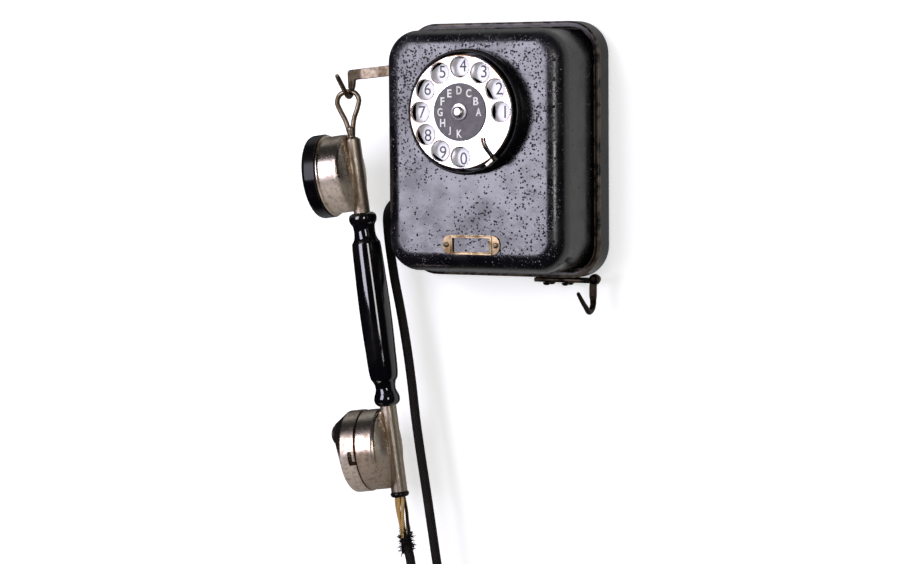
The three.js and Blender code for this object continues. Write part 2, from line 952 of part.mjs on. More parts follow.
// A stack of contact springs: thin blades between fibre blocks, on a foot.
function contactStack(x0, x1, y0, y1, z0, z1) {
  const blades = 3;
  const foot = (y1 - y0) * 0.55;
  const pieces = [block(x0, x1, y0, y0 + foot, z0, z1)];
  for (let i = 0; i < blades; i += 1) {
    const x = x0 + ((i + 0.5) / blades) * (x1 - x0);
    const z = z1 - 0.25 * i * (z1 - z0);
    pieces.push(block(x - 0.35, x + 0.35, y0 + 0.5 * foot, y1, z0 + 1, z));
  }
  return joined(...pieces);
}

function impulseSprings() {
  const { contactX, contactZ, contactWidth, contactHeight, contactDepth } = GEARS;
  const front = FRAME_BACK + FIT;
  return contactStack(
    contactX,
    contactX + contactWidth,
    front,
    front + contactDepth,
    contactZ,
    contactZ + contactHeight,
  );
}

function makeDial(phone) {
  const dial = new THREE.Group();
  dial.position.set(0, FACE, DIAL_Z);
  phone.add(dial);
  addPiece(dial, "dial_case", dialCase(), EBONITE());
  addPiece(dial, "number_plate", numberPlate(), PORCELAIN());
  addPiece(dial, "finger_stop", fingerStop(), NICKEL());
  addPiece(dial, "finger_wheel", fingerWheel(), NICKEL());
  addPiece(dial, "centre_disc", centreDisc(), DISC_GREY());
  addPiece(dial, "dial_centre_screw", centreScrew(), NICKEL());
  addPiece(dial, "dial_frame", dialFrame(), BRASS());
  addPiece(dial, "dial_bridge", dialBridge(), BRASS());
  addPiece(dial, "dial_shaft", dialShaft(), STEEL());
  addPiece(dial, "main_gear", mainGear(), BRASS());
  addPiece(dial, "dial_spring_drum", springDrum(), STEEL());
  addPiece(dial, "impulse_springs", impulseSprings(), NICKEL());
  const drive = new THREE.Group();
  drive.position.set(DRIVE_PLACE.x, 0, DRIVE_PLACE.y);
  dial.add(drive);
  addPiece(drive, "drive_gear", driveArbor(), BRASS());
  const speed = new THREE.Group();
  speed.position.set(GOVERNOR_PLACE.x, 0, GOVERNOR_PLACE.y);
  dial.add(speed);
  addPiece(speed, "governor", governor(), BRASS());
}

// ---------------------------------------------------------------- bell

function bellFrame() {
  const { frameWidth, frameDown, frameUp, frameThick, x, postRadius } = BELL;
  const crown = -BELL.front + BELL.wall + FIT;
  const plate = block(
    -frameWidth / 2,
    frameWidth / 2,
    SEAT,
    SEAT - frameThick,
    BELL_Z - frameDown,
    BELL_Z + frameUp,
  );
  const post = (side) => rod(side * x, BELL_Z, postRadius, SEAT - 1, crown, 12);
  return joined(plate, post(-1), post(1));
}

// A domed gong with an even wall, open towards the wall of the room.
function gong(side) {
  const { radius, wall, front, back } = BELL;
  const depth = front - back;
  const skin = [
    [0, 0],
    [0.42, 0.04],
    [0.72, 0.2],
    [0.92, 0.5],
    [1, 1],
  ];
  const outer = skin.map(([r, d]) => [r * radius, d * depth - front]);
  const inner = skin.map(([r, d]) => [r * (radius - wall), wall - front + d * (depth - wall)]);
  return turned([...outer, ...inner.reverse()], 20).translate(side * BELL.x, 0, BELL_Z);
}

function gongScrew(side) {
  const seat = -BELL.front - FIT;
  return turned([
    [0, seat],
    [BELL.screwHead, seat],
    [BELL.screwHead, seat - 0.6 * BELL.screwHeadThick],
    [0.6 * BELL.screwHead, seat - BELL.screwHeadThick],
    [0, seat - BELL.screwHeadThick],
  ], 12).translate(side * BELL.x, 0, BELL_Z);
}

function bellCoil(side) {
  const back = SEAT - BELL.frameThick - FIT;
  const front = BELL_COIL_FRONT;
  const { coilRadius, coilNeck, coilFlange } = BELL;
  return turned([
    [0, back],
    [coilRadius, back],
    [coilRadius, back - coilFlange],
    [coilNeck, back - coilFlange],
    [coilNeck, front + coilFlange],
    [coilRadius, front + coilFlange],
    [coilRadius, front],
    [0, front],
  ], 16).translate(side * BELL.coilX, 0, BELL_COIL_Z);
}

function bellMagnet() {
  const foot = BELL_COIL_Z + BELL.coilRadius + FIT;
  const { magnetHalf, magnetHeight, magnetInset, magnetThick } = BELL;
  const front = BELL_COIL_FRONT + magnetInset;
  return block(-magnetHalf, magnetHalf, front, front + magnetThick, foot, foot + magnetHeight);
}

// The armature lies across the coils' front ends, and its rod ends in a ball between the gongs.
function clapper() {
  const back = BELL_COIL_FRONT - 2 * FIT;
  const front = back - BELL.armatureThick;
  const half = BELL.armatureHeight / 2;
  const armature = block(
    -BELL.armatureHalf,
    BELL.armatureHalf,
    back,
    front,
    BELL_COIL_Z - half,
    BELL_COIL_Z + half,
  );
  const middle = (back + front) / 2;
  const bend = new THREE.CatmullRomCurve3([
    vec3(0, middle, BELL_COIL_Z),
    vec3(0, middle, BELL_COIL_Z - half - 4),
    vec3(0, 0.7 * middle + 0.3 * BELL.ballY, 0.65 * BELL_COIL_Z + 0.35 * BELL_Z),
    vec3(0, BELL.ballY, BELL_Z),
  ]);
  const ball = new THREE.SphereGeometry(BELL.ball, 10, 8).translate(0, BELL.ballY, BELL_Z);
  return joined(armature, wireAlong(bend, BELL.rod, 6, 10), ball);
}

function makeBell(phone) {
  addPiece(phone, "bell_frame", bellFrame(), STEEL());
  addPiece(phone, "gong_left", gong(-1), NICKEL());
  addPiece(phone, "gong_right", gong(1), NICKEL());
  addPiece(phone, "gong_screw_left", gongScrew(-1), STEEL());
  addPiece(phone, "gong_screw_right", gongScrew(1), STEEL());
  addPiece(phone, "bell_coil_left", bellCoil(-1), COPPER_WINDING());
  addPiece(phone, "bell_coil_right", bellCoil(1), COPPER_WINDING());
  addPiece(phone, "bell_magnet", bellMagnet(), DARK_STEEL());
  addPiece(phone, "clapper", clapper(), STEEL());
}

// ---------------------------------------------------------------- circuit

const CONDENSER_FOOT = TOP - CIRCUIT.condenserDrop - CIRCUIT.condenserHeight;

function inductionCoil() {
  const { coilRadius, coilFlange, coilFlangeThick } = CIRCUIT;
  const coilTop = CONDENSER_FOOT - CIRCUIT.coilBelow;
  const coilBottom = BELL_Z + BELL.radius + CIRCUIT.coilAbove;
  const spool = turned([
    [0, coilBottom],
    [coilFlange, coilBottom],
    [coilFlange, coilBottom + coilFlangeThick],
    [coilRadius, coilBottom + coilFlangeThick],
    [coilRadius, coilTop - coilFlangeThick],
    [coilFlange, coilTop - coilFlangeThick],
    [coilFlange, coilTop],
    [0, coilTop],
  ], 16);
  return spool.rotateX(Math.PI / 2).translate(SIDE - CIRCUIT.coilInset, SEAT - coilFlange, 0);
}

function condenser() {
  const right = SIDE - CIRCUIT.condenserInset;
  return block(
    right - CIRCUIT.condenserWidth,
    right,
    SEAT,
    SEAT - CIRCUIT.condenserDepth,
    CONDENSER_FOOT,
    CONDENSER_FOOT + CIRCUIT.condenserHeight,
  );
}

function terminalBlock() {
  const blockLeft = CIRCUIT.blockInset - SIDE;
  const blockRight = blockLeft + CIRCUIT.blockWidth;
  const blockBottom = BELL_COIL_Z + BELL.coilRadius + CIRCUIT.blockAbove;
  const blockTop = blockBottom + CIRCUIT.blockHeight;
  const front = SEAT - CIRCUIT.blockDepth;
  const body = block(blockLeft, blockRight, SEAT, front, blockBottom, blockTop);
  const studs = [];
  for (let i = 0; i < CIRCUIT.studs; i += 1) {
    const share = (i + 0.5) / CIRCUIT.studs;
    const x = blockLeft + share * (blockRight - blockLeft);
    const z = (blockBottom + blockTop) / 2;
    studs.push(rod(x, z, CIRCUIT.stud, front + 1, front - CIRCUIT.studHeight, 8));
  }
  return joined(body, ...studs);
}

function makeCircuit(phone) {
  addPiece(phone, "induction_coil", inductionCoil(), FIBRE());
  addPiece(phone, "condenser", condenser(), DARK_STEEL());
  addPiece(phone, "terminal_block", terminalBlock(), FIBRE());
}

// ---------------------------------------------------------------- switch hook

const PIVOT_X = -SIDE + HOOK.pivotInset;
const LIMB_X = -SIDE - HOOK.reach;

// The height of the arm's middle line, at a distance from the pivot towards the hand set.
function hookLine(distance) {
  return HOOK_Z - distance * Math.tan(radians(HOOK.slope));
}

// The middle line of the J, in the plane of the hanging limb: down, round the bend, up to the tip.
function jCurve() {
  const limbTop = hookLine(PIVOT_X - LIMB_X);
  const turnZ = limbTop - HOOK.limbDrop;
  const bendSteps = 6;
  const bendTurn = radians(180 - HOOK.tipAngle);
  const points = [vec3(LIMB_X, HOOK_Y, limbTop - 4), vec3(LIMB_X, HOOK_Y, limbTop - 9)];
  for (let step = 0; step <= bendSteps; step += 1) {
    const angle = (step / bendSteps) * bendTurn;
    points.push(
      vec3(
        LIMB_X,
        HOOK_Y - HOOK.bend * (1 - Math.cos(angle)),
        turnZ - HOOK.bend * Math.sin(angle),
      ),
    );
  }
  const last = points[points.length - 1];
  const run = HOOK.tipRise / Math.tan(radians(HOOK.tipAngle));
  points.push(vec3(LIMB_X, last.y - 0.5 * run, last.z + 0.5 * HOOK.tipRise));
  points.push(vec3(LIMB_X, last.y - run, last.z + HOOK.tipRise));
  return new THREE.CatmullRomCurve3(points, false, "centripetal");
}

// Where the loop rests: on top of the wire at the J's lowest point.
function hangPoint() {
  const turnZ = hookLine(PIVOT_X - LIMB_X) - HOOK.limbDrop;
  return vec3(LIMB_X, HOOK_Y - HOOK.bend, turnZ - HOOK.bend + HOOK.wire);
}

function hookLever() {
  const back = HOOK_Y + HOOK.thick / 2;
  const front = HOOK_Y - HOOK.thick / 2;
  const half = HOOK.height / 2;
  const limbHalf = HOOK.limbWide / 2;
  const tailX = PIVOT_X + HOOK.tail;
  const limbTop = hookLine(PIVOT_X - LIMB_X);
  const tailZ = hookLine(-HOOK.tail);
  const arm = slab(
    [
      vec2(tailX, tailZ + half),
      vec2(LIMB_X - limbHalf + 1.5, limbTop + half - 0.8),
      vec2(LIMB_X - limbHalf, limbTop + half - 2.6),
      vec2(LIMB_X - limbHalf + 0.4, limbTop - HOOK.limbDrop + 1),
      vec2(LIMB_X + limbHalf - 0.8, limbTop - HOOK.limbDrop + 1),
      vec2(LIMB_X + limbHalf, limbTop - half + 0.3),
      vec2(tailX, tailZ - half),
    ],
    back,
    front,
  );
  const hub = rod(PIVOT_X, HOOK_Z, HOOK.hub, back, front, 16);
  const bore = rod(PIVOT_X, HOOK_Z, HOOK.pin + BEARING, back + 1, front - 1, 12);
  const taper = (share) => (share > 0.93 ? 0.9 * HOOK.wire : HOOK.wire);
  const wire = taperedTube(jCurve(), taper, 24, 10);
  return cut(joined(arm, hub, wire), bore);
}

function hookPost() {
  return rod(PIVOT_X, HOOK_Z, HOOK.postRadius, SEAT, HOOK_Y + HOOK.thick / 2 + FIT, 12);
}

function hookPivotScrew() {
  const front = HOOK_Y - HOOK.thick / 2 - FIT;
  const shankEnd = HOOK_Y + HOOK.thick / 2;
  return turned([
    [0, shankEnd],
    [HOOK.pin, shankEnd],
    [HOOK.pin, front],
    [HOOK.pinHead, front],
    [HOOK.pinHead, front - HOOK.pinHeadThick],
    [0, front - HOOK.pinHeadThick],
  ], 12).translate(PIVOT_X, 0, HOOK_Z);
}

// A leaf spring under the arm, on a block that stands on the tray.
function leverSpring() {
  const left = -SIDE + HOOK.springBlockLeft;
  const half = HOOK.thick / 2 + 0.5;
  const leafTop = hookLine(PIVOT_X - left) - HOOK.height / 2 - 0.5;
  const leafFoot = leafTop - HOOK.springThick;
  const stand = block(
    left,
    left + HOOK.springBlockWide,
    SEAT,
    HOOK_Y - half,
    leafFoot - HOOK.springBlockTall,
    leafFoot + 0.1,
  );
  const leaf = block(
    left,
    left + HOOK.springLength,
    HOOK_Y + half,
    HOOK_Y - half,
    leafFoot,
    leafTop,
  );
  return joined(stand, leaf);
}

function switchSprings() {
  const left = PIVOT_X + HOOK.tail + HOOK.contactGap;
  const foot = hookLine(-HOOK.tail) - 0.5 * HOOK.contactTall;
  const springs = contactStack(
    left,
    left + HOOK.contactWide,
    0,
    SEAT - HOOK_Y + HOOK.contactFront,
    foot,
    foot + HOOK.contactTall,
  );
  return springs.mirror([0, 1, 0]).translate([0, SEAT, 0]);
}

function makeHook(phone) {
  addPiece(phone, "hook_lever", hookLever(), NICKEL());
  addPiece(phone, "hook_post", hookPost(), STEEL());
  addPiece(phone, "hook_pivot_screw", hookPivotScrew(), STEEL());
  addPiece(phone, "lever_spring", leverSpring(), STEEL());
  addPiece(phone, "switch_springs", switchSprings(), NICKEL());
}

// ---------------------------------------------------------------- hand set
// The group's origin is the centre of the tube's top end. Its Y axis runs up the tube, its -X axis
// is the way the receiver faces, and its Z axis comes towards the viewer.

function suspensionLoop() {
  const { loopWire, loopWidth, loopHeight, loopOffset, stemHeight, collar, collarThick } = HANDSET;
  const half = loopWidth / 2 - loopWire;
  const top = loopHeight - loopWire;
  const vee = stemHeight;
  const beside = 1.02 * loopWire;
  const side = (s) => [
    vec3(s * beside, vee, 0),
    vec3(s * 0.42 * half + 0.2 * loopOffset, vee + 0.26 * (top - vee), 0),
    vec3(s * 0.8 * half + 0.6 * loopOffset, vee + 0.53 * (top - vee), 0),
    vec3(s * half + 0.8 * loopOffset, vee + 0.76 * (top - vee), 0),
    vec3(s * 0.7 * half + loopOffset, vee + 0.94 * (top - vee), 0),
  ];
  const curve = new THREE.CatmullRomCurve3([
    ...side(-1),
    vec3(loopOffset, top, 0),
    ...side(1).reverse(),
  ]);
  const bow = wireAlong(curve, loopWire, 8, 36);
  const stem = turned([
    [0, -collarThick],
    [collar, -collarThick],
    [collar, 0.8],
    [2.6, 1.6],
    [2.6, 2.4],
    [3.3, vee - 0.5],
    [2.9, vee + 1.2],
    [0, vee + 1.2],
  ], 12);
  return joined(bow, stem);
}

function handsetTube() {
  const inner = TUBE.radius - TUBE.wall;
  return turned([
    [inner, 0],
    [TUBE.radius, 0],
    [TUBE.radius, -TUBE_LENGTH],
    [inner, -TUBE_LENGTH],
    [inner, 0],
  ], 16);
}

// Half of the grip's turned outline: distance from the nearer end as a share, and the radius.
function gripProfile() {
  const { length, bead, neck, shoulder, barrel, foot } = GRIP;
  const bore = TUBE.radius + FIT;
  const down = (share) => -(GRIP_TOP + share * length);
  return [
    [bore, down(0)],
    [0.72 * bead, down(0)],
    [0.95 * bead, down(0.015)],
    [bead, down(0.033)],
    [0.9 * bead, down(0.055)],
    [neck + 0.5, down(0.078)],
    [neck, down(0.105)],
    [neck + 0.7, down(0.13)],
    [shoulder, down(0.153)],
    [0.96 * barrel, down(0.3)],
    [barrel, down(0.5)],
    [0.96 * barrel, down(0.7)],
    [foot, down(0.856)],
    [neck + 0.7, down(0.88)],
    [neck, down(0.91)],
    [neck + 0.6, down(0.93)],
    [0.93 * foot, down(0.948)],
    [0.98 * foot, down(0.965)],
    [0.92 * foot, down(0.985)],
    [0.7 * foot, down(1)],
    [bore, down(1)],
    [bore, down(0)],
  ];
}

// Turns a profile of [radius, distance from the tube] about an axis that leaves the tube square to
// it, at a distance below the tube's top.
function sideways(profile, below, sides) {
  return turned(profile, sides).rotateZ(Math.PI / 2).translate(0, -below, 0);
}

// Where the floor inside a can lies: in front of the tube, which the can's thick back wraps.
const CAN_FLOOR = TUBE.radius + 2 * FIT + 1;

// The groove that the tube lies in, across a can's domed back.
function tubeGroove(below) {
  const groove = new THREE.CylinderGeometry(TUBE.radius + FIT, TUBE.radius + FIT, 70, 16);
  return groove.translate(0, -below, 0);
}

function receiverCan() {
  const { back, crown, rim, can, lip, lipThick, wall, down } = RECEIVER;
  const shell = sideways([
    [0, crown],
    [0.6 * can, 0.4 * crown + 0.6 * back - 0.5],
    [can - 1, back - 0.3],
    [can, back + 0.8],
    [can, rim - 0.2],
    [lip, rim],
    [lip, rim + lipThick],
    [can - wall, rim + lipThick],
    [can - wall, CAN_FLOOR],
    [0, CAN_FLOOR],
  ], down, 28);
  return cut(shell, tubeGroove(down));
}

function receiverCap() {
  const { rim, front, cap, can, capEdge, earHole, earDish, lipThick, down, wall } = RECEIVER;
  const back = rim + lipThick + FIT;
  const inner = can - wall - 1;
  return sideways([
    [inner, back],
    [cap, back],
    [cap, front - capEdge],
    [cap - 0.3 * capEdge, front - 0.3 * capEdge],
    [cap - capEdge, front],
    [0.8 * cap, front],
    [earHole, front - earDish],
    [earHole, front - earDish - 2],
    [inner, back + 3],
    [inner, back],
  ], down, 28);
}

function receiverDiaphragm() {
  const { rim, can, wall, lipThick, down } = RECEIVER;
  const radius = can - wall - FIT;
  return sideways([
    [0, rim + lipThick - 0.6],
    [radius, rim + lipThick - 0.6],
    [radius, rim + lipThick - 0.2],
    [0, rim + lipThick - 0.2],
  ], down, 20);
}

// A ring magnet on the can's floor with two pole coils.
function receiverMagnet() {
  const { rim, down } = RECEIVER;
  const floor = CAN_FLOOR + FIT;
  const poleFront = rim - 0.5;
  const yoke = block(-floor - 5, -floor, -down - 12, -down + 12, -6, 6);
  const pole = (side) => block(-poleFront, -floor - 2, -down + side * 4, -down + side * 9, -4, 4);
  return joined(yoke, pole(-1), pole(1));
}

function transmitterCan() {
  const { back, crown, seam, can, cap, wall, collarLength, pin, pinAngle } = TRANSMITTER;
  const down = TRANSMITTER_DOWN;
  const collar = cap - wall - FIT;
  const shell = sideways([
    [0, crown],
    [0.6 * can, 0.4 * crown + 0.6 * back - 0.5],
    [can - 1.2, back],
    [can - 0.2, back + 2],
    [can, back + 2.6],
    [can, seam],
    [collar, seam],
    [collar, seam + collarLength],
    [collar - wall, seam + collarLength],
    [collar - wall, CAN_FLOOR],
    [0, CAN_FLOOR],
  ], down, 28);
  const stud = rod(0, 0, pin, collar - 0.5, cap + 0.5, 8)
    .rotateX(Math.PI / 2)
    .rotateX(radians(pinAngle))
    .translate(-(seam + TRANSMITTER.slotReach), -down, 0);
  return joined(cut(shell, tubeGroove(down)), stud);
}

function carbonCapsule() {
  const { radius, thick } = CAPSULE;
  const back = CAN_FLOOR + FIT;
  return sideways([
    [0, back],
    [radius - 2, back],
    [radius, back + 2],
    [radius, back + thick],
    [0, back + thick],
  ], TRANSMITTER_DOWN, 20);
}

// A ring of the transmitter cap: a circle about an axis that moves off the can's axis towards the
// receiver by shift, at a distance from the tube.
function capRing(radius, distance, shift, sides = 28) {
  const ring = [];
  for (let k = 0; k < sides; k += 1) {
    const angle = (2 * Math.PI * k) / sides;
    const y = -TRANSMITTER_DOWN + shift + radius * Math.cos(angle);
    ring.push(vec3(-distance, y, radius * Math.sin(angle)));
  }
  return ring;
}

// The cap's front rises as an eccentric cone to a boss that stands towards the receiver.
function transmitterCap() {
  const { seam, front, cap, wall, bossOffset, bossFront, bossRadius, bossCrown } = TRANSMITTER;
  const back = seam + FIT;
  const skin = loft([
    capRing(cap, back, 0),
    capRing(cap, front - 1.2, 0),
    capRing(cap - 0.9, front, 0),
    capRing(bossRadius + 1.4, bossFront - 1.8, bossOffset),
    capRing(bossRadius, bossFront - 1.3, bossOffset),
    capRing(bossRadius - 0.3, bossFront, bossOffset),
    capRing(0.55 * bossRadius, bossFront + bossCrown, bossOffset),
  ]);
  const hollow = loft([
    capRing(cap - wall, back - 1, 0),
    capRing(cap - wall, front - 1.2 - wall, 0),
    capRing(bossRadius, bossFront - 2.4 - wall, bossOffset),
    capRing(bossRadius - 2, bossFront - 1.2 - wall, bossOffset),
  ]);
  const bore = loft([
    capRing(TRANSMITTER.bossBore, front, bossOffset, 10),
    capRing(TRANSMITTER.bossBore, bossFront + bossCrown + 1, bossOffset, 10),
  ]);
  return cut(skin, hollow, bore, bayonetSlot());
}

// An L-shaped slot: a run round the cap, past the pin's place, and a mouth at the seam.
function bayonetSlot() {
  const { seam, cap, pin, pinAngle, slotSpare, slotTurn, slotReach } = TRANSMITTER;
  const half = pin + 0.4;
  const middle = -(seam + slotReach);
  const steps = 4;
  const pieces = [];
  const place = (shape, degrees) => shape.rotateX(radians(degrees)).translate(0, -TRANSMITTER_DOWN, 0);
  for (let step = 0; step <= steps; step += 1) {
    const run = block(middle - half, middle + half, -half, half, cap - 5, cap + 2);
    const angle = pinAngle - slotSpare + (step / steps) * (slotSpare + slotTurn);
    pieces.push(place(run, angle));
  }
  const mouth = block(middle, 1 - seam, -half, half, cap - 5, cap + 2);
  pieces.push(place(mouth, pinAngle + slotTurn));
  return joined(...pieces);
}

function tubeBushing() {
  const { radius, length, plug, plugLength, bore } = BUSHING;
  const top = -TUBE_LENGTH;
  return turned([
    [bore, top + plugLength],
    [plug, top + plugLength],
    [plug, top - FIT],
    [radius, top - FIT],
    [radius + 0.4, top - 0.5 * length],
    [radius - 0.6, top - length],
    [bore, top - length],
    [bore, top + plugLength],
  ], 16);
}

const WIRES_TOP = -TUBE_LENGTH + 2;
const WIRES_FOOT = -TUBE_LENGTH - BUSHING.length - WIRES.length;

// Four cloth-covered wires from the bushing to a thread tie where the braid begins.
function bareWires() {
  const pieces = [];
  for (let i = 0; i < WIRES.count; i += 1) {
    const angle = (2 * Math.PI * (i + 0.5)) / WIRES.count;
    const twist = 0.9;
    const point = (share, spread, height) =>
      vec3(
        spread * WIRES.circle * Math.cos(angle + share * twist),
        height,
        spread * WIRES.circle * Math.sin(angle + share * twist),
      );
    const curve = new THREE.CatmullRomCurve3([
      point(0, 0.9, WIRES_TOP),
      point(0.3, 1, -TUBE_LENGTH - BUSHING.length),
      point(0.6, 1.25, 0.5 * (WIRES_FOOT - TUBE_LENGTH)),
      point(1, 0.8, WIRES_FOOT + 0.5),
    ]);
    pieces.push(wireAlong(curve, WIRES.radius, 8, 8));
  }
  const tie = turned([
    [0, WIRES_FOOT],
    [WIRES.tie, WIRES_FOOT],
    [WIRES.tie, WIRES_FOOT + WIRES.tieLength],
    [0, WIRES_FOOT + WIRES.tieLength],
  ], 12);
  return joined(...pieces, tie);
}

function makeHandset(phone) {
  const handset = new THREE.Group();
  handset.rotation.set(Math.PI / 2, -radians(HANDSET.tilt), radians(HANDSET.yaw), "ZYX");
  const loopTop = vec3(HANDSET.hangOffset, HANDSET.loopHeight - 2 * HANDSET.loopWire - FIT, 0);
  handset.position.copy(hangPoint()).sub(loopTop.applyEuler(handset.rotation));
  phone.add(handset);
  addPiece(handset, "suspension_loop", suspensionLoop(), NICKEL());
  addPiece(handset, "handset_tube", handsetTube(), NICKEL());
  addPiece(handset, "grip", turned(gripProfile(), 18), EBONITE());
  addPiece(handset, "receiver_can", receiverCan(), NICKEL());
  addPiece(handset, "receiver_cap", receiverCap(), EBONITE());
  addPiece(handset, "receiver_diaphragm", receiverDiaphragm(), STEEL());
  addPiece(handset, "receiver_magnet", receiverMagnet(), DARK_STEEL());
  addPiece(handset, "transmitter_can", transmitterCan(), NICKEL());
  addPiece(handset, "carbon_capsule", carbonCapsule(), BRASS());
  addPiece(handset, "transmitter_cap", transmitterCap(), NICKEL());
  addPiece(handset, "tube_bushing", tubeBushing(), EBONITE());
  addPiece(handset, "handset_wires", bareWires(), OCHRE_CLOTH());
}

// ---------------------------------------------------------------- cord

// The cord's middle line, from the grommet's mouth down beside the case.
const CORD_DOWN = [
  [-0.3, 0, 0],
  [-5, 0, -0.9],
  [-9.1, 0, -3.7],
  [-11.9, 0, -7.8],
  [-12.9, 0, -12.9],
  [-12.6, 0, -20],
  [-11.5, 0, -31],
  [-9.7, 0, -43],
  [-7.3, 0, -57],
  [-3.5, 0, -75],
  [1.9, -1, -101],
  [5.9, -1.4, -127],
  [9.3, -2, -153],
  [13.5, -2.6, -179],
  [18.1, -3.2, -205],
  [22.5, -3.8, -231],
  [26.9, -4.4, -257],
  [32.7, -5, -287],
  [39.3, -5.8, -317],
  [45.6, -6.6, -345],
  [49.2, -7.4, -364],
  [49.4, -8, -375],
  [45.2, -8.8, -385],
  [36.2, -9.8, -390],
];

// The rest of it, measured from its end at the tie on the hand set's wires: round the bottom and up.
const CORD_UP = [
  [20.3, 1.7, -153.8],
  [11.6, 0.8, -147.6],
  [7.7, 0.2, -136],
  [7, -0.1, -116],
  [7.2, -0.3, -86.6],
  [7, -0.3, -56.6],
  [5.4, -0.2, -32.6],
  [3.8, -0.2, -16.6],
];

function makeCord(phone) {
  const handset = phone.children.find((child) => child.getObjectByName("handset_wires"));
  const inHandset = (point) => point.applyEuler(handset.rotation).add(handset.position);
  const end = inHandset(vec3(0, WIRES_FOOT - FIT, 0));
  const before = inHandset(vec3(0, WIRES_FOOT - FIT - CORD.diameter, 0));
  const mouth = vec3(-SIDE - GROMMET.outside, GROMMET.y, GROMMET.z);
  const points = [
    ...CORD_DOWN.map(([x, y, z]) => vec3(x, y, z).add(mouth)),
    ...CORD_UP.map(([x, y, z]) => vec3(x, y, z).add(end)),
    before,
    end,
  ];
  const curve = new THREE.CatmullRomCurve3(points, false, "centripetal");
  addPiece(
    phone,
    "handset_cord",
    wireAlong(curve, CORD.diameter / 2, CORD.sides, CORD.steps),
    BRAID(),
  );
}

// ---------------------------------------------------------------- hook for a second receiver

const SPARE_Z = -TRAY_TOP - SPARE.pivotDrop;
const STRIP_TOP = -TRAY_TOP - FIT;
const SPARE_HOOK_BACK = -SPARE.stripFront - FIT;
const SPARE_HOOK_FRONT = SPARE_HOOK_BACK - SPARE.hookThick;
const SPARE_LEFT = TRAY_SIDE - SPARE.stripFar;
const SPARE_RIGHT = TRAY_SIDE - SPARE.stripNear;
const SPARE_X = TRAY_SIDE - SPARE.pivotNear;

// A strip under the tray, whose front edge reaches out to a lug for the pivot pin.
function spareBracket() {
  const foot = STRIP_TOP - SPARE.stripThick;
  const { stripBack, stripFront, lugThick, lug } = SPARE;
  const lugBack = lugThick - stripFront;
  const strip = block(SPARE_LEFT, SPARE_RIGHT, -stripBack, -stripFront, foot, STRIP_TOP);
  const arm = block(SPARE_RIGHT - 1, SPARE_X, lugBack, -stripFront, foot, STRIP_TOP);
  const eye = rod(SPARE_X, SPARE_Z, lug, lugBack, -stripFront, 16);
  const bore = rod(SPARE_X, SPARE_Z, SPARE.pin + BEARING, 1, -stripFront - 1, 10);
  return cut(joined(strip, arm, eye), bore);
}

function sparePin() {
  const seat = SPARE_HOOK_FRONT - FIT;
  return turned([
    [0, SPARE.lugThick - SPARE.stripFront],
    [SPARE.pin, SPARE.lugThick - SPARE.stripFront],
    [SPARE.pin, seat],
    [SPARE.pinHead, seat],
    [SPARE.pinHead, seat - 0.6 * SPARE.pinHeadThick],
    [0.6 * SPARE.pinHead, seat - SPARE.pinHeadThick],
    [0, seat - SPARE.pinHeadThick],
  ], 12).translate(SPARE_X, 0, SPARE_Z);
}

// A rivet's domed head under the strip.
function spareRivet(x, y) {
  const seat = STRIP_TOP - SPARE.stripThick - FIT;
  const { rivet, rivetHeight } = SPARE;
  return turned([
    [0, 0],
    [rivet, 0],
    [0.88 * rivet, -0.5 * rivetHeight],
    [0.5 * rivet, -0.9 * rivetHeight],
    [0, -rivetHeight],
  ], 12)
    .rotateX(Math.PI / 2)
    .translate(x, y, seat);
}

function spareHook() {
  const x = SPARE_X;
  const middle = (SPARE_HOOK_BACK + SPARE_HOOK_FRONT) / 2;
  const half = SPARE.hookWide / 2;
  const hang = x - SPARE.hookAside;
  const eye = rod(x, SPARE_Z, SPARE.eye, SPARE_HOOK_BACK, SPARE_HOOK_FRONT, 16);
  const bore = rod(
    x,
    SPARE_Z,
    SPARE.pin + BEARING,
    SPARE_HOOK_BACK + 1,
    SPARE_HOOK_FRONT - 1,
    10,
  );
  const shank = block(
    hang - half,
    hang + half,
    SPARE_HOOK_BACK,
    SPARE_HOOK_FRONT,
    SPARE_Z - SPARE.shank,
    SPARE_Z - 0.6 * SPARE.eye,
  );
  const bottom = SPARE_Z - SPARE.bottom + SPARE.wireRadius;
  const tip = vec3(hang, middle - SPARE.tipForward, bottom + SPARE.tipUp);
  const low = vec3(hang, middle - SPARE.forward, bottom);
  const curve = new THREE.CatmullRomCurve3([
    vec3(hang, middle, SPARE_Z - SPARE.shank + 4),
    vec3(hang, middle, SPARE_Z - SPARE.shank),
    vec3(hang, middle - 0.3 * SPARE.forward, bottom + 1.6),
    low,
    vec3(hang, 0.7 * low.y + 0.3 * tip.y, bottom + 0.26 * SPARE.tipUp),
    vec3(hang, 0.3 * low.y + 0.7 * tip.y, bottom + 0.66 * SPARE.tipUp),
    tip,
  ]);
  const radiusAt = (share) => {
    const spread = SPARE.wireRadius - SPARE.tipRadius;
    return SPARE.wireRadius - spread * share;
  };
  return cut(joined(eye, shank, taperedTube(curve, radiusAt, 16, 10)), bore);
}

function makeSpareHook(phone) {
  addPiece(phone, "spare_hook_bracket", spareBracket(), DARK_STEEL());
  addPiece(phone, "spare_hook", spareHook(), DARK_STEEL());
  addPiece(phone, "spare_hook_pin", sparePin(), DARK_STEEL());
  let number = 1;
  SPARE.rivetsNear.map((near) => TRAY_SIDE - near).forEach((x) => {
    SPARE.rivetY.forEach((y) => {
      addPiece(phone, `bracket_rivet_${number}`, spareRivet(x, y), DARK_STEEL());
      number += 1;
    });
  });
}

// ---------------------------------------------------------------- the telephone

const telephone = new THREE.Group();
makeCase(telephone);
makeDial(telephone);
makeBell(telephone);
makeCircuit(telephone);
makeHook(telephone);
makeHandset(telephone);
makeCord(telephone);
makeSpareHook(telephone);

export default telephone;
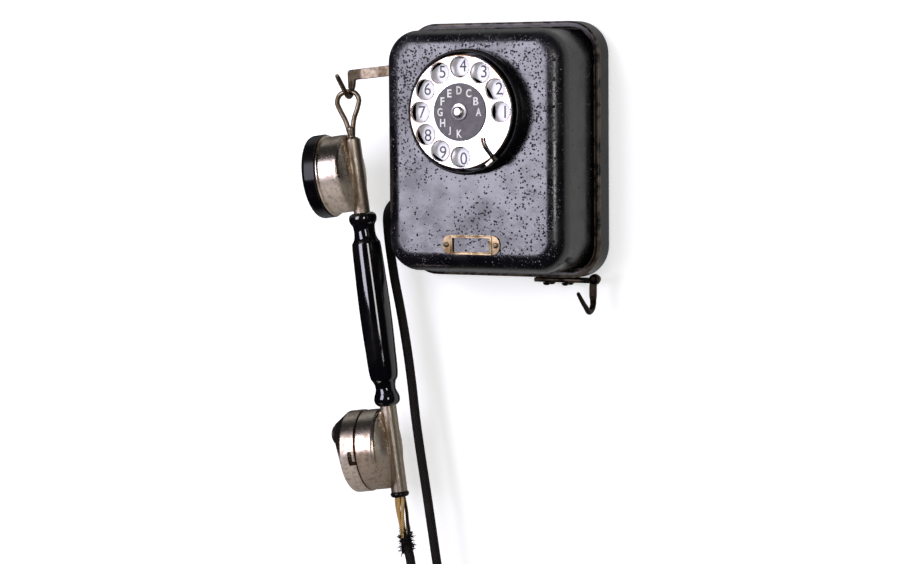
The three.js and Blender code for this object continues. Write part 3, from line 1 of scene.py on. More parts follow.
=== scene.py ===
# %% [markdown]
# # A compact rotary wall telephone
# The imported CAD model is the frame: it says where each piece is, how big it is and what it moves
# with. This script puts finished surfaces in its place, and no piece is fitted by eye. All
# lengths below are in millimetres, in the frame's own axes: +X is the viewer's right, +Y runs into
# the wall and +Z is up. They become metres only when a mesh is made.

# %% Open the frame
import math

import bmesh
import bpy
import numpy as np
from mathutils import Matrix, Vector


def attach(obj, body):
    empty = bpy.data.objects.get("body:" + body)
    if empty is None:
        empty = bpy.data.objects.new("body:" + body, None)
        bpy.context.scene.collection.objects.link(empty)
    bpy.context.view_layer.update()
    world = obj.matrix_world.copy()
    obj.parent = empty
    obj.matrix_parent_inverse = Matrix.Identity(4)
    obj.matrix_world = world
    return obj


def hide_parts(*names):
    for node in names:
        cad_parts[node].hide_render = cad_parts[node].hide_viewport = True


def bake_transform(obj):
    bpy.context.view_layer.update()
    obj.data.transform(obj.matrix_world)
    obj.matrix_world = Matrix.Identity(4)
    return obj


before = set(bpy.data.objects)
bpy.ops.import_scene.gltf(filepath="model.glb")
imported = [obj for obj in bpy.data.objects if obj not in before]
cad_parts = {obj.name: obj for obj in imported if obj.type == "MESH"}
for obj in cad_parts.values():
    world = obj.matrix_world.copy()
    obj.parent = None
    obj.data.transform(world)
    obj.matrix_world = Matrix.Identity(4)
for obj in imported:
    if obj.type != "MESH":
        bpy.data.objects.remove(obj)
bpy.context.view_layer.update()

MM = 0.001

# %% [markdown]
# ## The camera
# A photograph fixes its own camera. The edges of the dial, the case and the tray were matched to
# the picture, which gave the turn, the distance and the focal length. The lens is long, so the
# case's sides hardly taper. Fitting the camera once beats nudging pieces to suit a wrong one.

# %% Camera
CAMERA_PLACE = np.array([765.0, -1567.5, 39.3])
CAMERA_YAW, CAMERA_PITCH, CAMERA_ROLL = np.radians([27.37, 4.31, -0.45])
FOCAL_PIXELS = 2510
IMAGE_WIDTH = 907
SENSOR_WIDTH = 36


def photo_camera():
    """The camera's axes: back points from the object to the eye, turned by yaw and raised by
    pitch; right is level and square to it; roll turns right and up about back."""
    back = np.array([
        math.sin(CAMERA_YAW) * math.cos(CAMERA_PITCH),
        -math.cos(CAMERA_YAW) * math.cos(CAMERA_PITCH),
        math.sin(CAMERA_PITCH),
    ])
    level = np.array([math.cos(CAMERA_YAW), math.sin(CAMERA_YAW), 0.0])
    above = np.cross(back, level)
    right = math.cos(CAMERA_ROLL) * level + math.sin(CAMERA_ROLL) * above
    up = -math.sin(CAMERA_ROLL) * level + math.cos(CAMERA_ROLL) * above
    data = bpy.data.cameras.new("photo_camera")
    data.sensor_fit = "HORIZONTAL"
    data.sensor_width = SENSOR_WIDTH
    data.lens = FOCAL_PIXELS / IMAGE_WIDTH * SENSOR_WIDTH
    camera = bpy.data.objects.new("photo_camera", data)
    turn = Matrix(np.column_stack([right, up, back]).tolist()).to_4x4()
    camera.matrix_world = Matrix.Translation(Vector(CAMERA_PLACE * MM)) @ turn
    bpy.context.scene.collection.objects.link(camera)
    bpy.context.scene.camera = camera


photo_camera()
print("lens", round(FOCAL_PIXELS / IMAGE_WIDTH * SENSOR_WIDTH, 1), "mm")

# %% [markdown]
# ## Meshes from grids
# Most of the telephone was turned, drawn or bent, so most surfaces are a grid: one direction
# follows a profile, the other goes round an axis or along a wire. numpy works out the whole grid
# at once. A number from 0 to 1 at each point, called wear, marks the edges that hands have rubbed;
# the finishes read it later, and on the tray's lip and the label frame they also lay a painted
# highlight there. Real edges are never knife-sharp, so profiles are softened first.

# %% Grid helpers
SHARP = 38


def grid_faces(rings):
    """Four-sided faces of a grid whose points are stored row by row. Each face joins a point, the
    next one in its row, and the same two in the next row. The two ends of a row meet."""
    rows, columns = rings.shape[:2]
    row = np.arange(rows - 1)[:, None]
    column = np.arange(columns)[None, :]
    ahead = (column + 1) % columns
    corners = [
        row * columns + column,
        row * columns + ahead,
        (row + 1) * columns + ahead,
        (row + 1) * columns + column,
    ]
    return np.stack(corners, axis=-1).reshape(-1, 4).tolist()


def edge_capped(rings):
    """Grid faces plus one flat face over the first ring and one over the last."""
    rows, columns = rings.shape[:2]
    ends = [list(range(columns)), [(rows - 1) * columns + k for k in range(columns)]]
    return grid_faces(rings) + ends


def crisp(mesh, sharp=SHARP):
    """Smooth shading, broken at edges that turn by more than sharp degrees."""
    mesh.polygons.foreach_set("use_smooth", np.ones(len(mesh.polygons), dtype=bool))
    mesh.set_sharp_from_angle(angle=math.radians(sharp))


def make_piece(name, points, faces, wear=None, sharp=SHARP, uv=None):
    """An object from points in millimetres. Points that coincide are merged, which closes seams
    and poles, and the faces are turned outward. wear has one number for each point, one for each
    row of points, or one for them all."""
    flat = np.asarray(points, dtype=float).reshape(-1, 3)
    mesh = bpy.data.meshes.new(name)
    mesh.from_pydata((flat * MM).tolist(), [], faces)
    if wear is not None:
        wear = np.ravel(wear).astype(np.float32)
        marks = mesh.attributes.new("wear", "FLOAT", "POINT")
        marks.data.foreach_set("value", np.repeat(wear, len(flat) // len(wear)))
    if uv is not None:
        layer = mesh.uv_layers.new(name="along")
        layer.data.foreach_set("uv", np.asarray(uv, dtype=np.float32).ravel())
    work = bmesh.new()
    work.from_mesh(mesh)
    bmesh.ops.remove_doubles(work, verts=work.verts, dist=1e-7)
    bmesh.ops.recalc_face_normals(work, faces=work.faces)
    work.to_mesh(mesh)
    work.free()
    crisp(mesh, sharp)
    piece = bpy.data.objects.new(name, mesh)
    bpy.context.scene.collection.objects.link(piece)
    return piece


def softened(corners, radius, closed=False, steps=4, fade=0.5):
    """Turns each corner of a profile into a curve that leaves the straight a distance radius
    before it: p = (1-t)^2 start + 2t(1-t) corner + t^2 end. Returns the points and their wear,
    which is 1 on a curve that turns sharply and 0 from fade millimetres away."""
    corners = np.asarray(corners, dtype=float)
    last = len(corners) - 1
    radii = np.broadcast_to(radius, (len(corners),))
    t = np.linspace(0, 1, steps + 1)[:, None]
    points, wear = [], []
    for i, here in enumerate(corners):
        if not closed and i in (0, last):
            points.append(here[None])
            wear.append([0.0])
            continue
        to_last = corners[i - 1] - here
        to_next = corners[(i + 1) % len(corners)] - here
        reach = np.linalg.norm(to_last), np.linalg.norm(to_next)
        cut = min(radii[i], 0.45 * reach[0], 0.45 * reach[1])
        start, end = here + to_last / reach[0] * cut, here + to_next / reach[1] * cut
        before = here + to_last / reach[0] * min(cut + fade, 0.5 * reach[0])
        after = here + to_next / reach[1] * min(cut + fade, 0.5 * reach[1])
        curve = (1 - t) ** 2 * start + 2 * t * (1 - t) * here + t**2 * end
        turn = math.acos(min(1, max(-1, -(to_last @ to_next) / (reach[0] * reach[1]))))
        rubbed_here = min(1, max(0, (turn - 0.4) / 0.8))
        points += [before[None], curve, after[None]]
        wear += [[0.0], [rubbed_here] * (steps + 1), [0.0]]
    points, wear = np.concatenate(points), np.concatenate(wear)
    if closed:
        points, wear = np.vstack([points, points[:1]]), np.append(wear, wear[0])
    return points, wear


def turned(profile, segments):
    """Profile points (radius, height) carried round the Y axis: x = r cos a, y = h, z = r sin a."""
    angle = np.linspace(0, 2 * math.pi, segments, endpoint=False)
    radius, height = profile[:, :1], profile[:, 1:2]
    return np.stack([radius * np.cos(angle), height + 0 * angle, radius * np.sin(angle)], axis=-1)


def turned_piece(name, corners, soft, place, closed=False, segments=96, **more):
    """A turned solid, moved by the function place. An open profile starts and ends on the axis; a
    closed one leaves a bore."""
    profile, wear = softened(corners, soft, closed, **more)
    points = place(turned(profile, segments))
    return make_piece(name, points, grid_faces(points), wear)


def fit(piece, material, body, slot, *nodes):
    """Gives a piece its material, the body it moves with, and the CAD nodes it stands for."""
    piece.data.materials.clear()
    piece.data.materials.append(material)
    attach(piece, body)
    if nodes:
        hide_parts(*nodes)
    print(piece.name, "has", len(piece.data.polygons), "faces and rides on", body)


print("helpers ready")

# %% [markdown]
# ## Wires and cords
# A wire is a circle carried along a path. The path passes through chosen points on a smooth curve
# (a Catmull-Rom spline), and the circle is kept square to it with one fixed direction, which works
# because none of these paths ever runs along that direction.

# %% Path helpers


def smooth_path(points, spacing):
    """A curve through points. Between two of them it is a cubic whose end slopes come from the
    neighbours, with knots as far apart as the root of the distance. Then it is cut into equal
    steps of about spacing."""
    points = np.asarray(points, dtype=float)
    padded = np.vstack([2 * points[0] - points[1], points, 2 * points[-1] - points[-2]])
    gaps = np.maximum(np.linalg.norm(np.diff(padded, axis=0), axis=1), 1e-6) ** 0.5
    a, b, c, d = padded[:-3], padded[1:-2], padded[2:-1], padded[3:]
    g0, g1, g2 = gaps[:-2, None], gaps[1:-1, None], gaps[2:, None]
    slope_b = ((b - a) / g0 - (c - a) / (g0 + g1) + (c - b) / g1) * g1
    slope_c = ((c - b) / g1 - (d - b) / (g1 + g2) + (d - c) / g2) * g1
    t = np.linspace(0, 1, 40, endpoint=False)[:, None, None]
    curve = (
        b
        + slope_b * t
        + (3 * (c - b) - 2 * slope_b - slope_c) * t**2
        + (2 * (b - c) + slope_b + slope_c) * t**3
    )
    curve = np.vstack([curve.transpose(1, 0, 2).reshape(-1, points.shape[1]), points[-1]])
    distance = np.append(0, np.cumsum(np.linalg.norm(np.diff(curve, axis=0), axis=1)))
    wanted = np.linspace(0, distance[-1], max(3, int(round(distance[-1] / spacing)) + 1))
    return np.column_stack([np.interp(wanted, distance, axis) for axis in curve.T])


def path_length(path):
    return float(np.linalg.norm(np.diff(path, axis=0), axis=1).sum())


def swept(path, radius, across, sides):
    """Rings along a path: centre + r (cos a side + sin a other), with side = path direction x
    across and other = side x path direction."""
    path = np.asarray(path, dtype=float)
    ahead = np.gradient(path, axis=0)
    ahead /= np.linalg.norm(ahead, axis=1)[:, None]
    side = np.cross(ahead, np.asarray(across, dtype=float))
    side /= np.linalg.norm(side, axis=1)[:, None]
    other = np.cross(side, ahead)
    angle = np.linspace(0, 2 * math.pi, sides, endpoint=False)[None, :, None]
    radius = np.broadcast_to(radius, (len(path),))[:, None, None]
    return path[:, None] + radius * (
        np.cos(angle) * side[:, None] + np.sin(angle) * other[:, None]
    )


def capped_uv(rings, length):
    """For each corner of each side face: how far round it lies, from 0 to 1, and how far along in
    millimetres. The corners of the two end faces have no weave and get zeros."""
    rows, columns = rings.shape[:2]
    row = np.arange(rows - 1)[:, None] / (rows - 1)
    column = np.arange(columns)[None, :] / columns
    step_row, step_column = 1 / (rows - 1), 1 / columns
    u = np.stack([column, column + step_column, column + step_column, column], axis=-1)
    v = np.stack([row, row, row + step_row, row + step_row], axis=-1)
    u, v = np.broadcast_arrays(u + 0 * row[..., None], v + 0 * column[..., None])
    return np.vstack([np.stack([u, v * length], axis=-1).reshape(-1, 2), np.zeros((2 * columns, 2))])


def rounded_ends(path, radius, steps=5):
    """The radius along a wire whose two ends are half balls, and the path with those ends added:
    ring k stands r sin(k) beyond the end and is r cos(k) wide."""
    path = np.asarray(path, dtype=float)
    first = (path[0] - path[1]) / np.linalg.norm(path[0] - path[1])
    last = (path[-1] - path[-2]) / np.linalg.norm(path[-1] - path[-2])
    radii = np.broadcast_to(radius, (len(path),)).astype(float)
    turn = np.linspace(0, math.pi / 2, steps + 1)[1:]
    head = path[0] + first * radii[0] * np.sin(turn[::-1])[:, None]
    tail = path[-1] + last * radii[-1] * np.sin(turn)[:, None]
    sizes = [radii[0] * np.cos(turn[::-1]), radii, radii[-1] * np.cos(turn)]
    return np.vstack([head, path, tail]), np.concatenate(sizes)


def wire_grid(path, radius, across, sides):
    """Points and faces of a round-ended wire."""
    path, sizes = rounded_ends(path, radius)
    rings = swept(path, np.maximum(sizes, 1e-4), across, sides)
    return rings, edge_capped(rings)


def gathered(*grids):
    """Several (points, faces) made one: each set of faces counts on from the points before it."""
    points, faces, start = [], [], 0
    for some_points, some_faces in grids:
        flat = np.asarray(some_points, dtype=float).reshape(-1, 3)
        points.append(flat)
        faces += [[start + i for i in face] for face in some_faces]
        start += len(flat)
    return np.vstack(points), faces


print("path helpers ready")

# %% [markdown]
# ## Finishes: shared effects
# Each finish is a Principled shader fed by a few small effects. Clouding makes tarnish and uneven
# gloss, specks make rust spots and blisters, rubbed edges use the wear number from the meshes.
# They are node groups, so each is built once and every finish sets its own scale and strength.

# %% Node helpers


def add(tree, kind, **settings):
    made = tree.nodes.new(kind)
    for key, value in settings.items():
        setattr(made, key, value)
    return made


def feed(tree, socket, value):
    """Links a socket to another one, or writes a number or a colour on it."""
    if isinstance(value, bpy.types.NodeSocket):
        tree.links.new(value, socket)
    elif isinstance(value, tuple) and len(value) == 3 and socket.type == "RGBA":
        socket.default_value = (*value, 1.0)
    else:
        socket.default_value = value


def sums(tree, operation, *values):
    made = add(tree, "ShaderNodeMath", operation=operation)
    for socket, value in zip(made.inputs, values):
        feed(tree, socket, value)
    return made.outputs[0]


def times(tree, first, second):
    return sums(tree, "MULTIPLY", first, second)


def plus(tree, first, second):
    return sums(tree, "ADD", first, second)


def mixed(tree, factor, first, second):
    """first where factor is 0, second where it is 1: colours if they are tuples or colour sockets."""
    colour = any(isinstance(v, tuple) or getattr(v, "type", "") == "RGBA" for v in (first, second))
    made = add(tree, "ShaderNodeMix", data_type="RGBA" if colour else "FLOAT")
    places = (0, 6, 7) if colour else (0, 2, 3)
    for place, value in zip(places, (factor, first, second)):
        feed(tree, made.inputs[place], value)
    return made.outputs[2 if colour else 0]


def ramp(tree, value, low, high, start=0.0, end=1.0):
    """start up to low, end past high, and a smooth step between them."""
    made = add(tree, "ShaderNodeMapRange", interpolation_type="SMOOTHSTEP")
    for socket, number in zip(made.inputs, (value, low, high, start, end)):
        feed(tree, socket, number)
    return made.outputs[0]


def spots(tree):
    """The piece's own coordinates in metres, as a vector for a texture."""
    return add(tree, "ShaderNodeTexCoord").outputs["Object"]


def axes(tree):
    """The same coordinates as three numbers, x, y and z."""
    apart = add(tree, "ShaderNodeSeparateXYZ")
    feed(tree, apart.inputs[0], spots(tree))
    return apart.outputs


def noise(tree, scale, detail):
    """Smooth noise over the piece's own coordinates. More detail adds finer layers to it."""
    made = add(tree, "ShaderNodeTexNoise")
    feed(tree, made.inputs["Vector"], spots(tree))
    feed(tree, made.inputs["Scale"], scale)
    made.inputs["Detail"].default_value = detail
    return made.outputs[0]


def effect(name, inputs, outputs=("Mask",)):
    """An empty node group with named number sockets; returns it, its inputs and its outputs."""
    tree = bpy.data.node_groups.new(name, "ShaderNodeTree")
    for label, default in inputs.items():
        socket = tree.interface.new_socket(label, in_out="INPUT", socket_type="NodeSocketFloat")
        socket.default_value = default
    for label in outputs:
        tree.interface.new_socket(label, in_out="OUTPUT", socket_type="NodeSocketFloat")
    start, end = add(tree, "NodeGroupInput"), add(tree, "NodeGroupOutput")
    return tree, start.outputs, end.inputs


def use(tree, group, **values):
    """Places a group in a material with its own values and returns its first output."""
    made = add(tree, "ShaderNodeGroup", node_tree=group)
    for label, value in values.items():
        feed(tree, made.inputs[label], value)
    return made.outputs[0]


# %% Effect: clouding
clouding, into, out = effect("clouding", {"Scale": 40.0, "Low": 0.4, "High": 0.65})
cloud = noise(clouding, into["Scale"], 5.0)
feed(clouding, out["Mask"], ramp(clouding, cloud, into["Low"], into["High"]))

# %% Effect: specks
# A Voronoi texture deals space into cells with one point each. A speck is a small ball round that
# point, and only the cells whose random number is below Share get one.
specks, into, out = effect("specks", {"Scale": 500.0, "Size": 0.4, "Share": 0.3})
cells = add(specks, "ShaderNodeTexVoronoi")
feed(specks, cells.inputs["Vector"], spots(specks))
feed(specks, cells.inputs["Scale"], into["Scale"])
pick = add(specks, "ShaderNodeSeparateColor")
feed(specks, pick.inputs[0], cells.outputs["Color"])
chosen = sums(specks, "LESS_THAN", pick.outputs[0], into["Share"])
wide = times(specks, into["Size"], plus(specks, 0.45, pick.outputs[1]))
ball = ramp(specks, cells.outputs["Distance"], 0.0, wide, 1.0, 0.0)
feed(specks, out["Mask"], times(specks, ball, chosen))

# %% Effect: rubbed edges
rubbed, into, out = effect("rubbed_edges", {"Scale": 300.0, "Amount": 0.6})
marks = add(rubbed, "ShaderNodeAttribute", attribute_type="GEOMETRY", attribute_name="wear")
patchy = ramp(rubbed, noise(rubbed, into["Scale"], 4.0), 0.35, 0.6)
edge = times(rubbed, marks.outputs["Fac"], patchy)
feed(rubbed, out["Mask"], times(rubbed, edge, into["Amount"]))

# %% Effect: braid
# Two sets of slanting strands cross: u runs round the cord and v along it, and each strand is one
# wave of sin(2 pi (u count + v pitch)). The higher of the two shows, as in a real braid.
braided, into, out = effect("braid", {"Count": 8.0, "Pitch": 0.3}, ("Height", "Gap"))
uv = add(braided, "ShaderNodeSeparateXYZ")
feed(braided, uv.inputs[0], add(braided, "ShaderNodeUVMap", uv_map="along").outputs[0])
round_it = times(braided, uv.outputs[0], into["Count"])
along_it = times(braided, uv.outputs[1], into["Pitch"])


def strand(tree, turn):
    return sums(tree, "SINE", times(tree, turn, 2 * math.pi))


one_way = strand(braided, plus(braided, round_it, along_it))
other_way = strand(braided, sums(braided, "SUBTRACT", round_it, along_it))
top = sums(braided, "MAXIMUM", one_way, other_way)
feed(braided, out["Height"], top)
feed(braided, out["Gap"], ramp(braided, top, 0.0, 0.7, 1.0, 0.0))
print("effects:", [tree.name for tree in bpy.data.node_groups])

# %% [markdown]
# ## Finishes: the materials
# The case is black stoving enamel over steel, and a century has blistered it: hundreds of raised
# dots and small pits catch the light, and the pressed edges have gone brown. The bright parts are
# nickel on brass, so their worn edges turn brown and not rusty red. Only numbers that change over
# the surface go through nodes; the rest is set on the shader itself.

# %% A finish


def finish(name, metallic=0.0, **plain):
    """An empty material with its shader; plain gives the shader's own steady values."""
    material = bpy.data.materials.new(name)
    material.use_nodes = True
    tree = material.node_tree
    shader = tree.nodes["Principled BSDF"]
    shader.inputs["Metallic"].default_value = metallic
    for label, value in plain.items():
        shader.inputs[label.replace("_", " ")].default_value = value
    return material, tree, shader.inputs


def bumped(tree, sockets, height, distance, strength=1.0):
    """Tilts the shading as if the surface stood height x distance metres proud."""
    bump = add(tree, "ShaderNodeBump")
    bump.inputs["Strength"].default_value = strength
    bump.inputs["Distance"].default_value = distance
    feed(tree, bump.inputs["Height"], height)
    feed(tree, sockets["Normal"], bump.outputs[0])


# %% Black stoving enamel
POOR_TOP, POOR_RIGHT = (-0.03, 0.065), (0.0, 0.05)
FACE_TO_SIDE = (-0.0628, -0.058)
# The blister grey is a painted highlight on the raised dots.
BLISTER_HIGHLIGHT_GREY = (0.30, 0.29, 0.34)
BLISTER_HEIGHT = 0.00035


def enamel(name, share_low, share_high, roughness, deep, pale, edge_wear_and_highlight_share, worn, **plain):
    """Blistered enamel: share_low and share_high are how many cells hold a blister or a pit in
    the sound and in the poor patches. It is poorer towards the top and the right, and has few
    marks behind the flat face, from y = -58 mm on. worn is the colour laid on the marked edges:
    brown wear on the cover, a painted highlight line along the tray's lip; the argument before it
    says how much of it shows."""
    material, tree, to = finish(name, **plain)
    x, y, z = axes(tree)
    upper, right = ramp(tree, z, *POOR_TOP), ramp(tree, x, *POOR_RIGHT)
    patches = use(tree, clouding, Scale=26.0, Low=0.42, High=0.68)
    worse = times(tree, sums(tree, "MAXIMUM", upper, times(tree, right, 0.5)), 0.6)
    poor = sums(tree, "MINIMUM", 1.0, plus(tree, times(tree, patches, 0.6), worse))
    flat = ramp(tree, y, *FACE_TO_SIDE, 1.0, 0.12)
    share = times(tree, mixed(tree, poor, share_low, share_high), flat)
    pale_dots = use(tree, specks, Scale=600.0, Size=0.34, Share=share)
    dark_dots = use(tree, specks, Scale=700.0, Size=0.45, Share=share)
    large_dots = use(tree, specks, Scale=250.0, Size=0.30, Share=times(tree, share, 0.45))
    shade = mixed(tree, use(tree, clouding, Scale=30.0, Low=0.3, High=0.75), deep, pale)
    # The pale grey on the raised blisters is a painted highlight, for the light their tops catch.
    shade = mixed(tree, times(tree, pale_dots, 0.8), shade, BLISTER_HIGHLIGHT_GREY)
    # Marked edges take the worn colour: brown wear on the cover, a painted highlight on the tray's lip.
    shade = mixed(tree, use(tree, rubbed, Scale=160.0, Amount=edge_wear_and_highlight_share), shade, worn)
    feed(tree, to["Base Color"], shade)
    gloss = use(tree, clouding, Scale=75.0, Low=0.3, High=0.75)
    gloss = mixed(tree, gloss, roughness, roughness + 0.15)
    dull = sums(tree, "MAXIMUM", dark_dots, times(tree, poor, 0.1))
    feed(tree, to["Roughness"], mixed(tree, dull, gloss, 0.8))
    height = plus(tree, pale_dots, times(tree, large_dots, 0.9))
    height = sums(tree, "SUBTRACT", height, times(tree, dark_dots, 0.9))
    peel = times(tree, noise(tree, 260.0, 2.0), 0.2)
    bumped(tree, to, plus(tree, height, peel), BLISTER_HEIGHT)
    return material


cover_enamel = enamel(
    "cover_enamel", 0.10, 0.85, 0.155, (0.002, 0.002, 0.003), (0.005, 0.004, 0.007), 0.5,
    (0.075, 0.036, 0.022), IOR=1.84,
)
# On the tray the pale edge colour is a painted highlight, the thin light line along the lip.
tray_enamel = enamel(
    "tray_enamel", 0.05, 0.3, 0.16, (0.004, 0.003, 0.003), (0.008, 0.006, 0.005), 0.55,
    (0.20, 0.15, 0.11), IOR=1.4,
)


# %% Nickel on brass
ARM_TO_WIRE = (-0.047, -0.043)
CLOUD_DEPTH = 0.004
DOT_BROWN, PAINTED_SHADE_BROWN = (0.14, 0.08, 0.035), (0.035, 0.026, 0.014)
GRAIN_HEIGHT = 0.00004


def nickel(
    name, bright, tarnish, tarnished, edges, roughness, edge_wear_and_highlight_colour=(0.25, 0.14, 0.06), pitted=0.12,
    grainy=0.6, shade_below_x=None, matte_and_painted_reflection=None,
):
    """bright is the clean colour, tarnish the stained one and tarnished how much of it shows. The
    colour after roughness goes under worn edges; on the label frame it is also a painted
    highlight. pitted is how many cells hold a brown dot, and grainy how uneven the surface is.
    The pair of x values after grainy paints shade: below the first the metal is painted nearly
    black, a painted shade on the hook's turned-down limb, but for what stands forward of
    ARM_TO_WIRE. The last argument gives two values of z and a colour: below the first the shine
    has gone and that colour shows, partly stained metal and partly a painted reflection of the
    light the cans' undersides catch."""
    material, tree, to = finish(name, metallic=1.0)
    x, y, z = axes(tree)
    broad = use(tree, clouding, Scale=55.0, Low=0.42, High=0.68)
    fine = use(tree, clouding, Scale=420.0, Low=0.45, High=0.7)
    stain = times(tree, plus(tree, broad, times(tree, fine, 0.6)), tarnished)
    colour = mixed(tree, stain, bright, tarnish)
    edge = use(tree, rubbed, Scale=110.0, Amount=edges)
    # Rubbed edges take the given colour; on the label frame it is also a painted highlight.
    colour = mixed(tree, edge, colour, edge_wear_and_highlight_colour)
    gloss = mixed(tree, stain, roughness, roughness + 0.22)
    dots = use(tree, specks, Scale=700.0, Size=0.3, Share=pitted)
    # Below a height the metal turns matte and takes the given colour: partly stained metal, partly a
    # painted reflection of the light the can's underside catches.
    if matte_and_painted_reflection:
        low, high, beige = matte_and_painted_reflection
        centred = sums(tree, "SUBTRACT", use(tree, clouding, Scale=130.0), 0.5)
        uneven = plus(tree, z, times(tree, centred, CLOUD_DEPTH))
        dull = ramp(tree, uneven, low, high, 0.85, 0.0)
        blotched = mixed(tree, fine, beige, tuple(0.6 * value for value in beige))
        colour = mixed(tree, dull, colour, blotched)
        gloss = mixed(tree, dull, gloss, 0.6)
        feed(tree, to["Metallic"], mixed(tree, dull, 1.0, 0.15))
    colour = mixed(tree, times(tree, dots, 0.8), colour, DOT_BROWN)
    # Painted shade: below the first x the metal is painted nearly black, the shade on the hook's
    # turned-down limb; the wire forward of ARM_TO_WIRE keeps its colour.
    if shade_below_x:
        back = ramp(tree, y, *ARM_TO_WIRE)
        painted_shade = times(tree, back, ramp(tree, x, *shade_below_x, 0.92, 0.0))
        colour = mixed(tree, painted_shade, colour, PAINTED_SHADE_BROWN)
    feed(tree, to["Base Color"], colour)
    feed(tree, to["Roughness"], gloss)
    grain = noise(tree, 900.0, 3.0)
    bumped(tree, to, sums(tree, "SUBTRACT", grain, times(tree, dots, 1.5)), GRAIN_HEIGHT, grainy)
    return material


dial_nickel = nickel("dial_nickel", (0.86, 0.84, 0.83), (0.62, 0.56, 0.48), 0.18, 1.0, 0.24)
screw_nickel = nickel("screw_nickel", (0.86, 0.84, 0.82), (0.7, 0.66, 0.6), 0.1, 0.3, 0.32)
# The lever's x pair paints shade on its turned-down limb.
arm_nickel = nickel(
    "arm_nickel", (0.40, 0.34, 0.26), (0.14, 0.095, 0.05), 0.8, 0.6, 0.36, shade_below_x=(-0.0985, -0.0957)
)
loop_nickel = nickel("loop_nickel", (0.34, 0.28, 0.20), (0.11, 0.075, 0.04), 0.9, 0.6, 0.36)
CAN = ((0.64, 0.57, 0.49), (0.30, 0.21, 0.12), 0.6, 0.8, 0.22)
FOOT_OF_CAN = (-0.220, -0.206)
can_nickel = nickel("can_nickel", *CAN)
# Below the given height the can turns matte; its colour there is partly a painted reflection.
receiver_nickel = nickel("receiver_nickel", *CAN, matte_and_painted_reflection=(-0.028, -0.015, (0.70, 0.58, 0.46)))
transmitter_nickel = nickel(
    "transmitter_nickel", *CAN, pitted=0.2, matte_and_painted_reflection=(*FOOT_OF_CAN, (0.38, 0.29, 0.21))
)
cap_nickel = nickel(
    "cap_nickel", (0.66, 0.59, 0.51), (0.32, 0.23, 0.14), 0.6, 1.2, 0.22, (0.16, 0.07, 0.02),
    matte_and_painted_reflection=(*FOOT_OF_CAN, (0.66, 0.54, 0.42)),
)
# Nearly black nickel for the skirt and pin: a painted shade for the inside of the bayonet slot.
slot_shade_nickel = nickel(
    "slot_shade_nickel", (0.12, 0.085, 0.05), (0.05, 0.03, 0.018), 0.7, 0.8, 0.4, (0.5, 0.4, 0.28)
)
tube_nickel = nickel(
    "tube_nickel", (0.66, 0.57, 0.46), (0.34, 0.25, 0.16), 0.5, 0.5, 0.4, pitted=0.0, grainy=0.1
)
# The pale colour on the frame's raised edges is partly rubbed brass and partly a painted highlight along
# the frame's lines.
label_brass = nickel(
    "label_brass", (0.26, 0.17, 0.08), (0.09, 0.05, 0.02), 0.8, 1.5, 0.34, (0.80, 0.64, 0.40)
)
dark_screw = nickel(
    "dark_screw", (0.46, 0.36, 0.24), (0.05, 0.035, 0.022), 0.8, 1.2, 0.3, (0.7, 0.6, 0.46)
)
stop_wire = nickel(
    "stop_wire", (0.035, 0.022, 0.014), (0.02, 0.012, 0.007), 0.6, 1.3, 0.42, (0.80, 0.42, 0.10)
)
clip_nickel = nickel("clip_nickel", (0.90, 0.86, 0.78), (0.6, 0.54, 0.44), 0.2, 0.3, 0.4)
plain_brass = nickel("plain_brass", (0.80, 0.60, 0.32), (0.42, 0.28, 0.12), 0.6, 0.3, 0.34)
bare_steel = nickel("bare_steel", (0.48, 0.47, 0.46), (0.22, 0.19, 0.17), 0.6, 0.4, 0.40)
hook_steel = nickel(
    "hook_steel", (0.006, 0.005, 0.004), (0.003, 0.002, 0.002), 0.8, 0.7, 0.28, (0.12, 0.09, 0.06)
)


# %% Hard black rubber
def hard_rubber(name, smooth, dull, **plain):
    """Nearly black; smooth and dull are its roughness where it is polished and where it is not."""
    material, tree, to = finish(name, **plain)
    worn = use(tree, clouding, Scale=70.0, Low=0.45, High=0.75)
    colour = mixed(tree, worn, (0.002, 0.002, 0.003), (0.006, 0.005, 0.005))
    edge = use(tree, rubbed, Amount=0.35)
    feed(tree, to["Base Color"], mixed(tree, edge, colour, (0.05, 0.04, 0.035)))
    feed(tree, to["Roughness"], mixed(tree, worn, smooth, dull))
    bumped(tree, to, noise(tree, 500.0, 3.0), 0.00003, 0.4)
    return material


ebonite = hard_rubber("ebonite", 0.12, 0.24, Specular_IOR_Level=0.22)
polished_ebonite = hard_rubber("polished_ebonite", 0.07, 0.12, IOR=1.9)

# %% Enamelled number ring, grey disc, and the paints
porcelain, tree, to = finish("porcelain", Coat_Weight=0.4)
stained = use(tree, clouding, Scale=60.0, Low=0.5, High=0.8)
feed(tree, to["Base Color"], mixed(tree, stained, (0.86, 0.86, 0.88), (0.70, 0.69, 0.70)))
feed(tree, to["Roughness"], mixed(tree, stained, 0.12, 0.25))
bumped(tree, to, noise(tree, 150.0, 2.0), 0.00006, 0.3)

disc_grey, tree, to = finish("disc_grey")
mottle = use(tree, clouding, Scale=190.0, Low=0.35, High=0.7)
colour = mixed(tree, mottle, (0.075, 0.068, 0.075), (0.15, 0.135, 0.145))
dots = use(tree, specks, Scale=900.0, Size=0.4, Share=0.2)
feed(tree, to["Base Color"], mixed(tree, times(tree, dots, 0.6), colour, (0.32, 0.28, 0.27)))
feed(tree, to["Roughness"], mixed(tree, mottle, 0.42, 0.6))
bumped(tree, to, noise(tree, 800.0, 3.0), 0.00005, 0.5)


